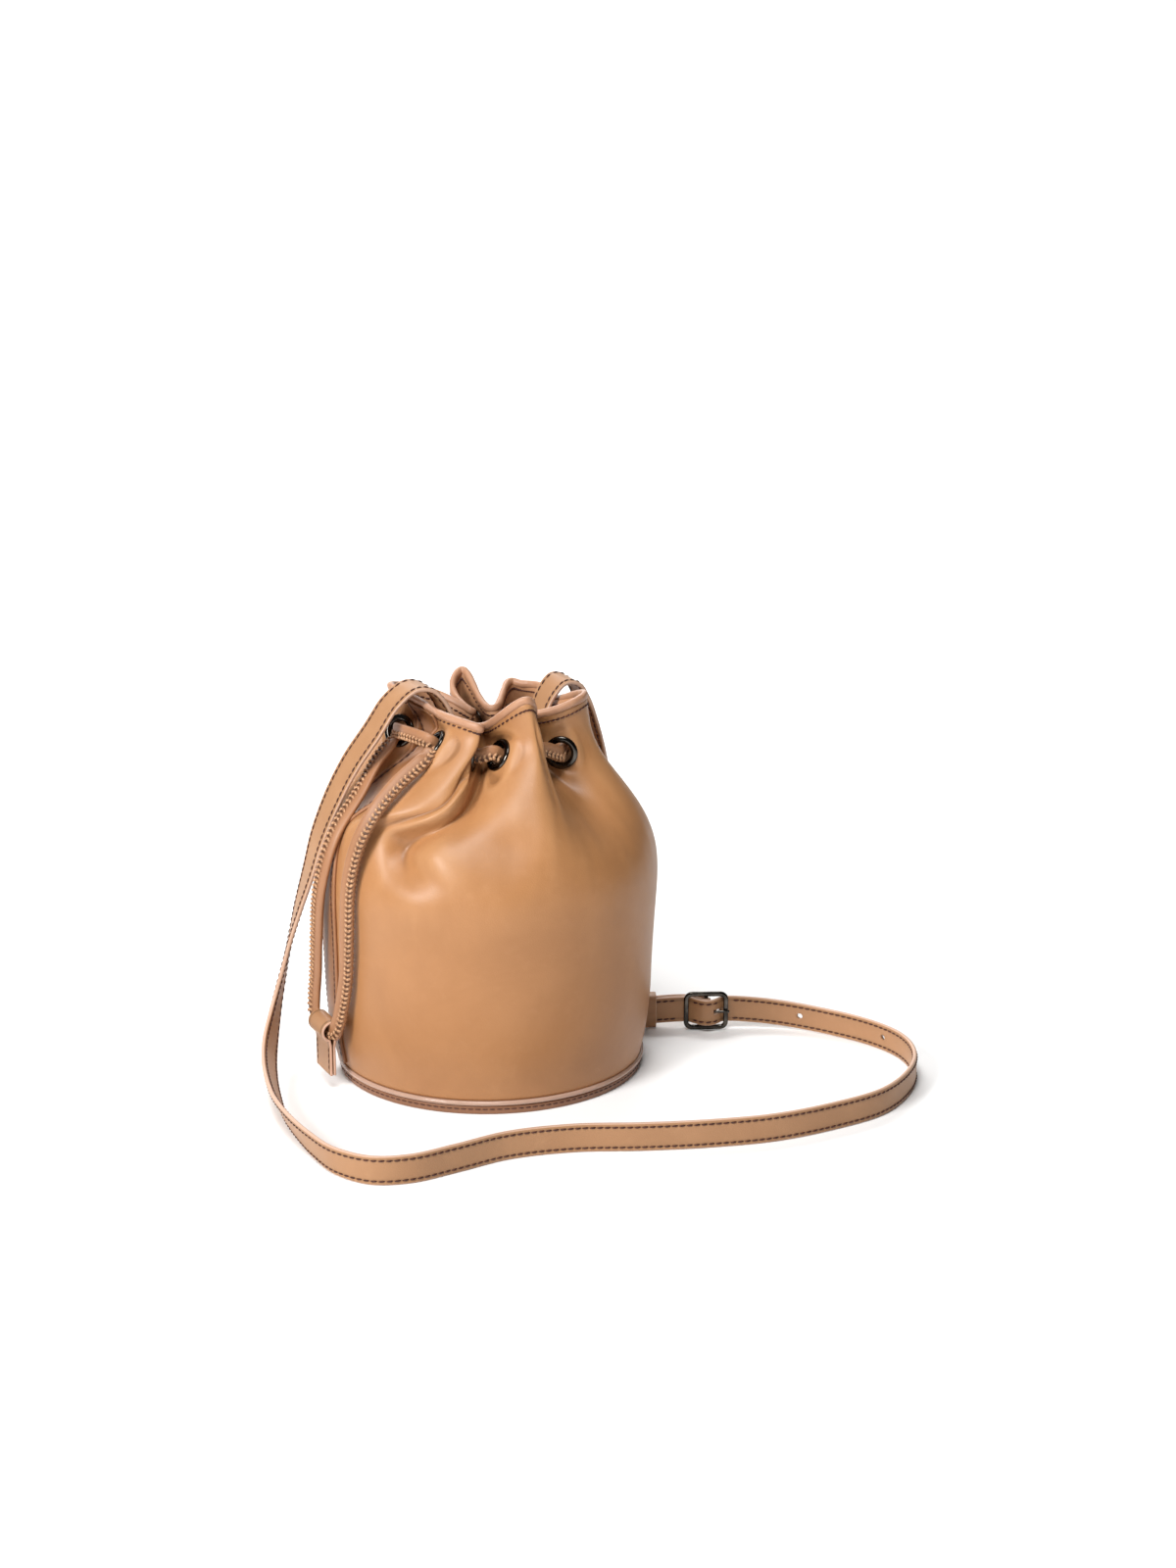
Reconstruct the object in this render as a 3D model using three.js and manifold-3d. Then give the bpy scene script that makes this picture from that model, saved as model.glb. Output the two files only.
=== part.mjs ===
// A drawstring bucket bag in smooth leather, gathered at the mouth by a cord through
// twelve eyelets, with a buckled shoulder strap that lies round it on the floor.
// Millimetres, +Z up. The origin is the middle of the base; the side seams are at -X and +X.
import * as THREE from 'three';
import { mergeVertices } from 'three/addons/utils/BufferGeometryUtils.js';
import Module from 'manifold-3d';

const wasm = await Module();
wasm.setup();

// ---------------------------------------------------------------- driving sizes
const baseRadius = 88;
const bodyRadius = 96.5;
const shoulderHeight = 128;
const gatherRadius = 45;
const eyeletHeight = 193;
const rimHeight = 215;

const leatherThickness = 1.4;
const facingThickness = 0.9;
const liningThickness = 0.6;
const stripThickness = 1.2;
const stripWidth = 29;
const gap = 0.3;
const facingGap = 0.6 * leatherThickness;
const liningGap = 1.1;
const stripGap = 0.6;
const rimGap = 0.6;

const baseEdgeHeight = 5;
const basePanelThickness = 1.6;
const pipingRadius = 1.3;
const boardThickness = 2;
const bindingRadius = 2;

const eyeletHole = 11.5;
const eyeletOuter = 19;
const eyeletBarrelWall = 0.5;
const flangeThickness = 0.9;
const washerThickness = 0.5;

const cordWidth = 8.6;
const cordThickness = 3.8;
const strapWidth = 16;
const strapThickness = 2.4;
const skivedThickness = 1.2;
const strapHoleRadius = 1.8;

const tabRollOuter = 6.2;
const tabRollWall = 1.2;
const tabWidth = 24;
const tabTailLength = 20;
const tabTailThickness = 3.4;

const buckleLength = 27;
const buckleHeight = 24;
const buckleBar = 3;
const buckleThickness = 2.5;
const centreBarRadius = 1.2;
const prongRadius = 0.9;
const keeperWall = 1.2;
const keeperWidth = 8;

const eyeletCount = 12;
const pleatStep = 360 / (2 * eyeletCount);
const columnStep = 7.5;

// ---------------------------------------------------------------- materials
const finish = (color, roughness, metalness = 0) =>
  new THREE.MeshStandardMaterial({ color, roughness, metalness });
const tanLeather = finish(0xd0a070, 0.5);
const strapLeather = finish(0xc9976c, 0.5);
const edgeLeather = finish(0xc29a82, 0.55);
const liningCloth = finish(0x9a8268, 0.9);
const boardStock = finish(0x8c7a62, 0.9);
const darkNickel = finish(0x4a4744, 0.2, 1);

const bag = new THREE.Group();
function add(parent, name, geometry, material) {
  const mesh = new THREE.Mesh(geometry, material);
  mesh.name = name;
  parent.add(mesh);
  return mesh;
}

// ---------------------------------------------------------------- joining and cutting
function toSolid(geometry) {
  const bare = geometry.clone();
  for (const name of Object.keys(bare.attributes)) {
    if (name !== 'position') bare.deleteAttribute(name);
  }
  const merged = mergeVertices(bare, 1e-4);
  return new wasm.Manifold(new wasm.Mesh({
    numProp: 3,
    vertProperties: new Float32Array(merged.attributes.position.array),
    triVerts: new Uint32Array(merged.index.array),
  }));
}

function toGeometry(solid) {
  const mesh = solid.getMesh();
  const geometry = new THREE.BufferGeometry();
  geometry.setAttribute('position', new THREE.BufferAttribute(mesh.vertProperties.slice(), 3));
  geometry.setIndex(new THREE.BufferAttribute(mesh.triVerts.slice(), 1));
  geometry.computeVertexNormals();
  return geometry;
}

function cut(geometry, cutters) {
  let solid = toSolid(geometry);
  for (const cutter of cutters) solid = solid.subtract(toSolid(cutter));
  return toGeometry(solid);
}

function join(...geometries) {
  return toGeometry(geometries.map(toSolid).reduce((sum, next) => sum.add(next)));
}

// ---------------------------------------------------------------- the gathered leather
// The leather is a tube of rows. In each row a knot stands every 15 degrees of leather: the
// odd knots are eyelets, and the even ones are valleys (0, 60, 120 ...) and peaks (30, 90 ...).
// A knot is [direction in degrees, distance out from the gather radius, height over the row's].
const eyeletRow = [
  [20, -7, -2], [36, 5, 0], [52, 17, 4], [64, 2, 0], [66, -17, -5], [82.5, 1, 0],
  [94.5, 16, 5], [107.5, 0, 0], [114.5, -17, -5], [132.5, 0, 0], [149.5, 15, 7], [173.3, 5, 6.5],
  [190.7, -14.5, 3], [219.6, 3, 6], [243, 13, 3], [244.1, -2, 1], [253.5, -17, -3],
  [265.7, -2.6, 1], [284, 15, 9], [293.9, 2, 2], [312.8, -13.4, -4], [317.2, 2.5, -2.5],
  [334.2, 16, 4], [357, 6, 0],
];
const rimRow = [
  [21.3, 5.5, -4], [41.3, 10.8, -0.5], [56.9, 10.6, 0], [65.8, 6, 0], [69.1, -17.7, -9],
  [84.6, -4.7, -3], [90.8, 15.6, 7.6], [103.5, 2.6, -3], [99.7, -21.2, -10], [116.8, -2.4, -2],
  [141.9, 10.5, 6], [161.3, 10.3, 8.5], [182.2, -5.7, 2], [222.1, -0.8, 0.4], [251.4, 7.3, -2.6],
  [247.6, -4.4, -6], [249.4, -16.7, -8], [263.4, -4.8, -0.6], [279.1, 9.3, 14],
  [292.9, 1.6, 4], [303, -8, -1], [313.8, 5.5, 4.5], [333.3, 12.2, 8.5], [357, 7, 3.5],
];
// Rows between the shoulder and the eyelets are mixed from those two, by share of the way in
// and up.
const lowerMix = { inward: 0.23, upward: 0.38 };
const upperMix = { inward: 0.67, upward: 0.71 };
// How far the body's rows are turned by the gathered mouth, in degrees.
const bodyRows = [
  { radius: baseRadius, height: 8, turn: 0 },
  { radius: baseRadius + 2.5, height: 20, turn: 0.5 },
  { radius: bodyRadius - 2.5, height: 60, turn: 3 },
  { radius: bodyRadius - 0.5, height: 95, turn: 5.5 },
  { radius: bodyRadius, height: shoulderHeight, turn: 7 },
];
const rowLengths = [0, 12, 52, 87, 120, 149, 178, 200, 223];
const eyeletLength = rowLengths[7];
const topLength = rowLengths[8] - 3;
const leatherPerDegree = 1.6;

const polar = (degrees, radius, height) => {
  const angle = THREE.MathUtils.degToRad(degrees);
  return new THREE.Vector3(radius * Math.cos(angle), radius * Math.sin(angle), height);
};
const knotPoints = (row, height) => row.map(([a, out, up]) => polar(a, gatherRadius + out, height + up));
const circleRow = ({ radius, height, turn }) =>
  Array.from({ length: 2 * eyeletCount }, (_, k) => polar(k * pleatStep + turn, radius, height));

const circles = bodyRows.map(circleRow);
const shoulder = circles[circles.length - 1];
const eyeletKnots = knotPoints(eyeletRow, eyeletHeight);
const rimKnots = knotPoints(rimRow, rimHeight);

function mixedRow({ inward, upward }) {
  return shoulder.map((low, k) => {
    const high = eyeletKnots[k];
    return new THREE.Vector3(
      THREE.MathUtils.lerp(low.x, high.x, inward),
      THREE.MathUtils.lerp(low.y, high.y, inward),
      THREE.MathUtils.lerp(low.z, high.z, upward),
    );
  });
}

const rows = [...circles, mixedRow(lowerMix), mixedRow(upperMix), eyeletKnots, rimKnots];

const sweeps = 40;
// Slopes of the smooth closed curve through evenly spaced points.
function closedSlopes(points) {
  const count = points.length;
  const slopes = points.map(() => new THREE.Vector3());
  for (let sweep = 0; sweep < sweeps; sweep += 1) {
    for (let k = 0; k < count; k += 1) {
      const before = (k + count - 1) % count;
      const after = (k + 1) % count;
      slopes[k].copy(points[after]).sub(points[before]).multiplyScalar(3)
        .sub(slopes[before]).sub(slopes[after]).multiplyScalar(0.25);
    }
  }
  return slopes;
}

// Slopes of the smooth open curve through points at the given lengths, with free ends.
function openSlopes(points, lengths) {
  const last = points.length - 1;
  const slopes = points.map(() => new THREE.Vector3());
  const chord = (k) => points[k + 1].clone().sub(points[k]).divideScalar(lengths[k + 1] - lengths[k]);
  for (let sweep = 0; sweep < sweeps; sweep += 1) {
    slopes[0].copy(chord(0)).multiplyScalar(3).sub(slopes[1]).multiplyScalar(0.5);
    for (let k = 1; k < last; k += 1) {
      const below = lengths[k] - lengths[k - 1];
      const above = lengths[k + 1] - lengths[k];
      slopes[k].copy(chord(k)).multiplyScalar(3 * below).addScaledVector(chord(k - 1), 3 * above)
        .addScaledVector(slopes[k - 1], -above).addScaledVector(slopes[k + 1], -below)
        .divideScalar(2 * (below + above));
    }
    slopes[last].copy(chord(last - 1)).multiplyScalar(3).sub(slopes[last - 1]).multiplyScalar(0.5);
  }
  return slopes;
}

function hermite(p, q, slopeP, slopeQ, t, step) {
  const t2 = t * t;
  const t3 = t2 * t;
  return p.clone().multiplyScalar(2 * t3 - 3 * t2 + 1)
    .addScaledVector(slopeP, (t3 - 2 * t2 + t) * step)
    .addScaledVector(q, 3 * t2 - 2 * t3)
    .addScaledVector(slopeQ, (t3 - t2) * step);
}

const rowSlopes = rows.map(closedSlopes);
const columns = new Map();
function column(u) {
  if (!columns.has(u)) {
    const place = THREE.MathUtils.euclideanModulo(u, 360) / pleatStep;
    const k = Math.floor(place) % (2 * eyeletCount);
    const next = (k + 1) % (2 * eyeletCount);
    const points = rows.map((row, r) =>
      hermite(row[k], row[next], rowSlopes[r][k], rowSlopes[r][next], place - Math.floor(place), 1));
    columns.set(u, { points, slopes: openSlopes(points, rowLengths) });
  }
  return columns.get(u);
}

// The outer face, at u degrees of leather round the bag and v millimetres up from the base.
function smoothFace(u, v) {
  const { points, slopes } = column(u);
  let k = 0;
  while (k < rowLengths.length - 2 && v > rowLengths[k + 1]) k += 1;
  const step = rowLengths[k + 1] - rowLengths[k];
  return hermite(points[k], points[k + 1], slopes[k], slopes[k + 1], (v - rowLengths[k]) / step, step);
}

function faceNormal(face, u, v) {
  const along = face(u + 0.5, v).sub(face(u - 0.5, v));
  return along.cross(face(u, v + 1).sub(face(u, v - 1))).normalize();
}

const eyelets = Array.from({ length: eyeletCount }, (_, k) => {
  const u = (2 * k + 1) * pleatStep;
  return { u, centre: smoothFace(u, eyeletLength), normal: faceNormal(smoothFace, u, eyeletLength) };
});

// The eyelets hold the leather flat for a short way round them.
const flatRadius = eyeletOuter / 2 + 0.5;
const easeRadius = flatRadius * 1.8;
function face(u, v) {
  const point = smoothFace(u, v);
  for (const { u: eyeletU, centre, normal } of eyelets) {
    const turn = THREE.MathUtils.euclideanModulo(u - eyeletU + 180, 360) - 180;
    const away = Math.hypot(turn * leatherPerDegree, v - eyeletLength);
    const hold = 1 - THREE.MathUtils.smoothstep(away, flatRadius, easeRadius);
    if (hold > 0) point.addScaledVector(normal, -hold * point.clone().sub(centre).dot(normal));
  }
  return point;
}

const layerPoint = (u, v, depth) => face(u, v).addScaledVector(faceNormal(face, u, v), -depth);

// ---------------------------------------------------------------- closed sheets and sweeps
function meshFrom(vertices, triangles) {
  const geometry = new THREE.BufferGeometry();
  const numbers = vertices.flatMap((p) => p.toArray());
  geometry.setAttribute('position', new THREE.Float32BufferAttribute(numbers, 3));
  geometry.setIndex(triangles);
  geometry.computeVertexNormals();
  return geometry;
}

// A sheet of leather or cloth between two depths behind the outer face.
function layer(us, vs, outerDepth, innerDepth, closed) {
  const vertices = [];
  for (const depth of [outerDepth, innerDepth]) {
    for (const v of vs) {
      for (const u of us) vertices.push(layerPoint(u, v, depth));
    }
  }
  const across = us.length;
  const sheet = across * vs.length;
  const at = (side, i, j) => side * sheet + j * across + (i % across);
  const triangles = [];
  const quad = (a, b, c, d) => triangles.push(a, b, c, a, c, d);
  const spans = closed ? across : across - 1;
  for (let j = 0; j < vs.length - 1; j += 1) {
    for (let i = 0; i < spans; i += 1) {
      quad(at(0, i, j), at(0, i + 1, j), at(0, i + 1, j + 1), at(0, i, j + 1));
      quad(at(1, i, j), at(1, i, j + 1), at(1, i + 1, j + 1), at(1, i + 1, j));
    }
  }
  const top = vs.length - 1;
  for (let i = 0; i < spans; i += 1) {
    quad(at(0, i, top), at(0, i + 1, top), at(1, i + 1, top), at(1, i, top));
    quad(at(0, i + 1, 0), at(0, i, 0), at(1, i, 0), at(1, i + 1, 0));
  }
  if (!closed) {
    const end = across - 1;
    for (let j = 0; j < top; j += 1) {
      quad(at(0, 0, j), at(0, 0, j + 1), at(1, 0, j + 1), at(1, 0, j));
      quad(at(0, end, j + 1), at(0, end, j), at(1, end, j), at(1, end, j + 1));
    }
  }
  return meshFrom(vertices, triangles);
}

// A section carried along stations, each a place with its width and thickness directions.
function sweep(stations, section, closed = false) {
  const sides = section(stations[0]).length;
  const vertices = stations.flatMap((station) => section(station).map(([w, t]) =>
    station.point.clone().addScaledVector(station.across, w).addScaledVector(station.normal, t)));
  const triangles = [];
  const spans = closed ? stations.length : stations.length - 1;
  for (let k = 0; k < spans; k += 1) {
    const here = k * sides;
    const there = ((k + 1) % stations.length) * sides;
    for (let s = 0; s < sides; s += 1) {
      const t = (s + 1) % sides;
      triangles.push(here + s, there + t, there + s, here + s, here + t, there + t);
    }
  }
  if (!closed) {
    const last = (stations.length - 1) * sides;
    for (let s = 1; s < sides - 1; s += 1) {
      triangles.push(0, s + 1, s);
      triangles.push(last, last + s, last + s + 1);
    }
  }
  const geometry = meshFrom(vertices, triangles);
  if (toSolid(geometry).volume() < 0) {
    geometry.setIndex(triangles.map((_, k) => triangles[k - (k % 3) + (2 - (k % 3))]));
  }
  return geometry;
}

const ovalSection = (width, thickness, sides) => () => Array.from({ length: sides }, (_, s) => {
  const angle = ((s + 0.5) / sides) * 2 * Math.PI;
  return [Math.cos(angle) * width / 2 / Math.cos(Math.PI / sides), Math.sin(angle) * thickness / 2];
});
const flatSection = (station) => [[1, 1], [-1, 1], [-1, -1], [1, -1]].map(([w, t]) =>
  [w * strapWidth / 2, t * station.thickness / 2]);

// Stations along a smooth curve through a route's points. A route row is [x, y, z], and a strap's
// goes on with its width direction and its thickness.
function stationsAlong(route, perSpan, acrossAt, thicknessAt = () => 0) {
  const curve = new THREE.CatmullRomCurve3(route.map(([x, y, z]) => new THREE.Vector3(x, y, z)));
  const steps = (route.length - 1) * perSpan;
  return Array.from({ length: steps + 1 }, (_, k) => {
    const point = curve.getPoint(k / steps);
    const tangent = curve.getTangent(k / steps);
    const across = acrossAt(point, tangent, k / perSpan);
    across.addScaledVector(tangent, -across.dot(tangent)).normalize();
    const normal = across.clone().cross(tangent);
    return { point, tangent, across, normal, thickness: thicknessAt(k / perSpan) };
  });
}

function between(route, column, place) {
  const k = Math.min(Math.floor(place), route.length - 2);
  return THREE.MathUtils.lerp(route[k][column], route[k + 1][column], place - k);
}

function strap(route, perSpan) {
  const across = (point, tangent, place) =>
    new THREE.Vector3(...[3, 4, 5].map((column) => between(route, column, place)));
  return sweep(stationsAlong(route, perSpan, across, (place) => between(route, 6, place)), flatSection);
}

// ---------------------------------------------------------------- shell of the bag
const range = (from, to, step) =>
  Array.from({ length: Math.round((to - from) / step) + 1 }, (_, k) => from + k * step);
const shellRows = [0, 12, 52, 87, 120, 135, 149, 164, 178, 189, 200, 211, topLength];
const seamHalf = gap / 2 / leatherPerDegree;
// The leather doubles back on itself round the front left pleat, so its columns are closer there.
const tightColumns = range(198.75, 251.25, columnStep);
const allColumns = [...range(0, 360 - columnStep, columnStep), ...tightColumns].sort((a, b) => a - b);
const panelColumns = (from) => [
  from + seamHalf,
  ...allColumns.filter((u) => u > from && u < from + 180),
  from + 180 - seamHalf,
];
const facingDepth = leatherThickness + facingGap;
const liningDepth = leatherThickness + liningGap;

function eyeletCutters(fromDepth, toDepth, radius, only = () => true) {
  return eyelets.filter(only).map(({ centre, normal }) => {
    const cutter = new THREE.CylinderGeometry(radius, radius, toDepth - fromDepth, 12);
    cutter.applyQuaternion(new THREE.Quaternion().setFromUnitVectors(new THREE.Vector3(0, 1, 0), normal));
    const middle = centre.clone().addScaledVector(normal, -(fromDepth + toDepth) / 2);
    return cutter.translate(middle.x, middle.y, middle.z);
  });
}
const barrelRadius = eyeletHole / 2 + eyeletBarrelWall;
const seatRadius = eyeletOuter / 2 + gap;
const facingBack = facingDepth + facingThickness;
const throughHoles = (only) => eyeletCutters(-6, facingBack + 6, barrelRadius + gap, only);
const seats = (only) => [
  ...eyeletCutters(-4, 0, seatRadius, only),
  ...eyeletCutters(facingBack, facingBack + 4, seatRadius, only),
];

const frontEyelets = ({ u }) => u > 180;
const backEyelets = ({ u }) => u < 180;
add(bag, 'front_panel', cut(layer(panelColumns(180), shellRows, 0, leatherThickness, false),
  [...throughHoles(frontEyelets), ...seats(frontEyelets)]), tanLeather);
add(bag, 'back_panel', cut(layer(panelColumns(0), shellRows, 0, leatherThickness, false),
  [...throughHoles(backEyelets), ...seats(backEyelets)]), tanLeather);

const facingFoot = 164;
const facingRows = [facingFoot, 178, 189, 200, 211, topLength];
add(bag, 'mouth_facing', cut(layer(allColumns, facingRows, facingDepth, facingBack, true),
  [...throughHoles(), ...seats()]), tanLeather);

const liningRows = [2, ...shellRows.filter((row) => row > 2 && row < facingFoot), facingFoot - gap];
const lining = layer(allColumns, liningRows, liningDepth, liningDepth + liningThickness, true);
add(bag, 'lining', lining, liningCloth);

const stripHalf = stripWidth / 2 / leatherPerDegree;
const stripRows = [3, 12, 52, 87, 120, 135, 149, 164, 178, 189, 200, 211, topLength];
for (const [name, seam] of [['side_strip_left', 180], ['side_strip_right', 0]]) {
  const across = [seam - stripHalf, seam - columnStep, seam, seam + columnStep, seam + stripHalf];
  const strip = layer(across, stripRows, -stripGap - stripThickness, -stripGap, false);
  const flanges = eyeletCutters(-stripGap - 4, gap, seatRadius, ({ u }) =>
    Math.abs(THREE.MathUtils.euclideanModulo(u - seam + 180, 360) - 180) < 20);
  add(bag, name, cut(strip, flanges), tanLeather);
}

const bindingStations = allColumns.map((u) => {
  const depth = facingBack / 2;
  const tangent = layerPoint(u + 1, topLength, depth).sub(layerPoint(u - 1, topLength, depth)).normalize();
  const normal = faceNormal(face, u, topLength);
  normal.addScaledVector(tangent, -normal.dot(tangent)).normalize();
  const across = normal.clone().cross(tangent);
  const point = layerPoint(u, topLength, depth).addScaledVector(across, rimGap + bindingRadius);
  return { point, tangent, normal, across };
});
add(bag, 'rim_binding', sweep(bindingStations, ovalSection(2 * bindingRadius, 2 * bindingRadius, 6), true),
  edgeLeather);

// ---------------------------------------------------------------- base
const baseSides = 48;
function turned(profile) {
  const ring = new THREE.LatheGeometry(profile.map(([r, z]) => new THREE.Vector2(r, z)), baseSides);
  return ring.rotateX(Math.PI / 2).rotateZ(Math.PI / baseSides);
}
add(bag, 'base_panel', turned([
  [0, 0], [baseRadius - 1, 0], [baseRadius, 1], [baseRadius, baseEdgeHeight],
  [baseRadius - leatherThickness, baseEdgeHeight], [baseRadius - leatherThickness, basePanelThickness],
  [0, basePanelThickness],
]), tanLeather);
const boardRadius = baseRadius - leatherThickness - gap;
const boardFoot = basePanelThickness + gap;
add(bag, 'base_board', turned([
  [0, boardFoot], [boardRadius, boardFoot], [boardRadius, boardFoot + boardThickness],
  [0, boardFoot + boardThickness],
]), boardStock);
const liningBaseFoot = boardFoot + boardThickness + gap;
add(bag, 'lining_base', turned([
  [0, liningBaseFoot], [boardRadius, liningBaseFoot], [boardRadius, liningBaseFoot + liningThickness],
  [0, liningBaseFoot + liningThickness],
]), liningCloth);
const pipingCentre = baseEdgeHeight + gap + pipingRadius;
add(bag, 'base_piping', turned(range(0, 6, 1).map((k) => [
  baseRadius - 0.2 + pipingRadius * Math.cos((k * Math.PI) / 3),
  pipingCentre + pipingRadius * Math.sin((k * Math.PI) / 3),
])), edgeLeather);

// ---------------------------------------------------------------- eyelets
const ringSides = 12;
const lathe = (profile) =>
  new THREE.LatheGeometry([...profile, profile[0]].map(([r, y]) => new THREE.Vector2(r, y)), ringSides);
const barrelFoot = -(facingBack + gap + washerThickness + gap);
const eyeletProfile = [
  [eyeletHole / 2, flangeThickness + gap], [eyeletHole / 2, barrelFoot], [barrelRadius, barrelFoot],
  [barrelRadius, gap], [eyeletOuter / 2, gap], [eyeletOuter / 2 - 1, flangeThickness + gap],
];
const washerTop = -(facingBack + gap);
const washerProfile = [
  [barrelRadius + gap, washerTop], [barrelRadius + gap, washerTop - washerThickness],
  [eyeletOuter / 2, washerTop - washerThickness], [eyeletOuter / 2, washerTop],
];
function outward(geometry) {
  if (toSolid(geometry).volume() > 0) return geometry;
  geometry.setIndex(Array.from(geometry.index.array).map((_, k, all) => all[k - (k % 3) + (2 - (k % 3))]));
  return geometry;
}
eyelets.forEach(({ centre, normal }, k) => {
  const seat = new THREE.Group();
  seat.position.copy(centre);
  seat.quaternion.setFromUnitVectors(new THREE.Vector3(0, 1, 0), normal);
  bag.add(seat);
  const number = String(k + 1).padStart(2, '0');
  add(seat, `eyelet_${number}`, outward(lathe(eyeletProfile)), darkNickel);
  add(seat, `eyelet_washer_${number}`, outward(lathe(washerProfile)), darkNickel);
});

// ---------------------------------------------------------------- cords
const up = new THREE.Vector3(0, 0, 1);
const radial = (point) => new THREE.Vector3(point.x, point.y, 0).normalize();

// The drawstring runs outside every valley and inside every peak, straight through the eyelets,
// and its two ends are sewn together.
const wovenWidth = 7;
const wovenThickness = 3.2;
const straightRun = 4;
const drawstringPoints = eyelets.flatMap(({ centre, normal }, k) => {
  const ahead = k % 2 === 0 ? -straightRun : straightRun;
  return [centre.clone().addScaledVector(normal, -ahead), centre.clone().addScaledVector(normal, ahead)];
});
const drawstringCurve = new THREE.CatmullRomCurve3(drawstringPoints, true);
const drawstringSteps = 60;
const drawstringStations = Array.from({ length: drawstringSteps }, (_, k) => {
  const point = drawstringCurve.getPoint(k / drawstringSteps);
  const tangent = drawstringCurve.getTangent(k / drawstringSteps);
  const across = up.clone().addScaledVector(tangent, -tangent.z).normalize();
  return { point, tangent, across, normal: across.clone().cross(tangent) };
});
const drawstring = sweep(drawstringStations, ovalSection(wovenWidth, wovenThickness, 8), true);
add(bag, 'drawstring', drawstring, strapLeather);

// The pull cord hangs as a loop from the two eyelets beside the left seam.
const pullCordRoute = [
  [-56, 0, 193.5], [-64, -4, 186], [-76, -13, 170.5], [-92.5, -21, 149], [-101.5, -22.5, 121],
  [-102.6, -12, 89], [-102.4, -4, 64], [-103, 0.8, 47], [-103.2, 0.9, 39.4], [-102.5, -2.6, 35.6],
  [-101, -9.6, 35], [-99.8, -16, 35], [-98.6, -22.4, 35], [-97.1, -29.4, 35.6], [-96, -32.9, 39.4],
  [-94.2, -35.2, 48], [-91.5, -40, 69], [-91, -45.5, 99], [-89.8, -48.5, 128], [-84.5, -51, 151],
  [-74, -51.5, 170], [-61.5, -48.5, 183], [-50, -44.5, 191], [-44.5, -42.5, 194.5],
];
const flatAgainstBag = (point, tangent) => tangent.clone().cross(radial(point));
const pullCordStations = stationsAlong(pullCordRoute, 2, flatAgainstBag);
add(bag, 'pull_cord', sweep(pullCordStations, ovalSection(cordWidth, cordThickness, 8)), strapLeather);

// ---------------------------------------------------------------- pull tab
// A strip rolled round the bottom of the pull cord and sewn double below it.
const tabCentre = new THREE.Vector3(-99.8, -16, 35);
const tabTurn = THREE.MathUtils.degToRad(10.5);
function tabGeometry() {
  const outline = new THREE.Shape();
  const half = tabTailThickness / 2;
  const start = Math.asin(half / tabRollOuter) - Math.PI / 2;
  outline.absarc(0, 0, tabRollOuter, start, Math.PI - start, false);
  outline.lineTo(-half, -tabRollOuter - tabTailLength);
  outline.lineTo(half, -tabRollOuter - tabTailLength);
  const hole = new THREE.Path();
  hole.absarc(0, 0, tabRollOuter - tabRollWall, 0, 2 * Math.PI, true);
  outline.holes.push(hole);
  const tab = new THREE.ExtrudeGeometry(outline,
    { depth: tabWidth, bevelEnabled: false, curveSegments: 16 });
  return tab.translate(0, 0, -tabWidth / 2).rotateX(Math.PI / 2);
}
const tabSeat = new THREE.Group();
tabSeat.position.copy(tabCentre);
tabSeat.rotation.z = tabTurn;
bag.add(tabSeat);
add(tabSeat, 'pull_tab', tabGeometry(), strapLeather);

// ---------------------------------------------------------------- shoulder strap
const long = strapThickness;
const thin = skivedThickness;
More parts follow.
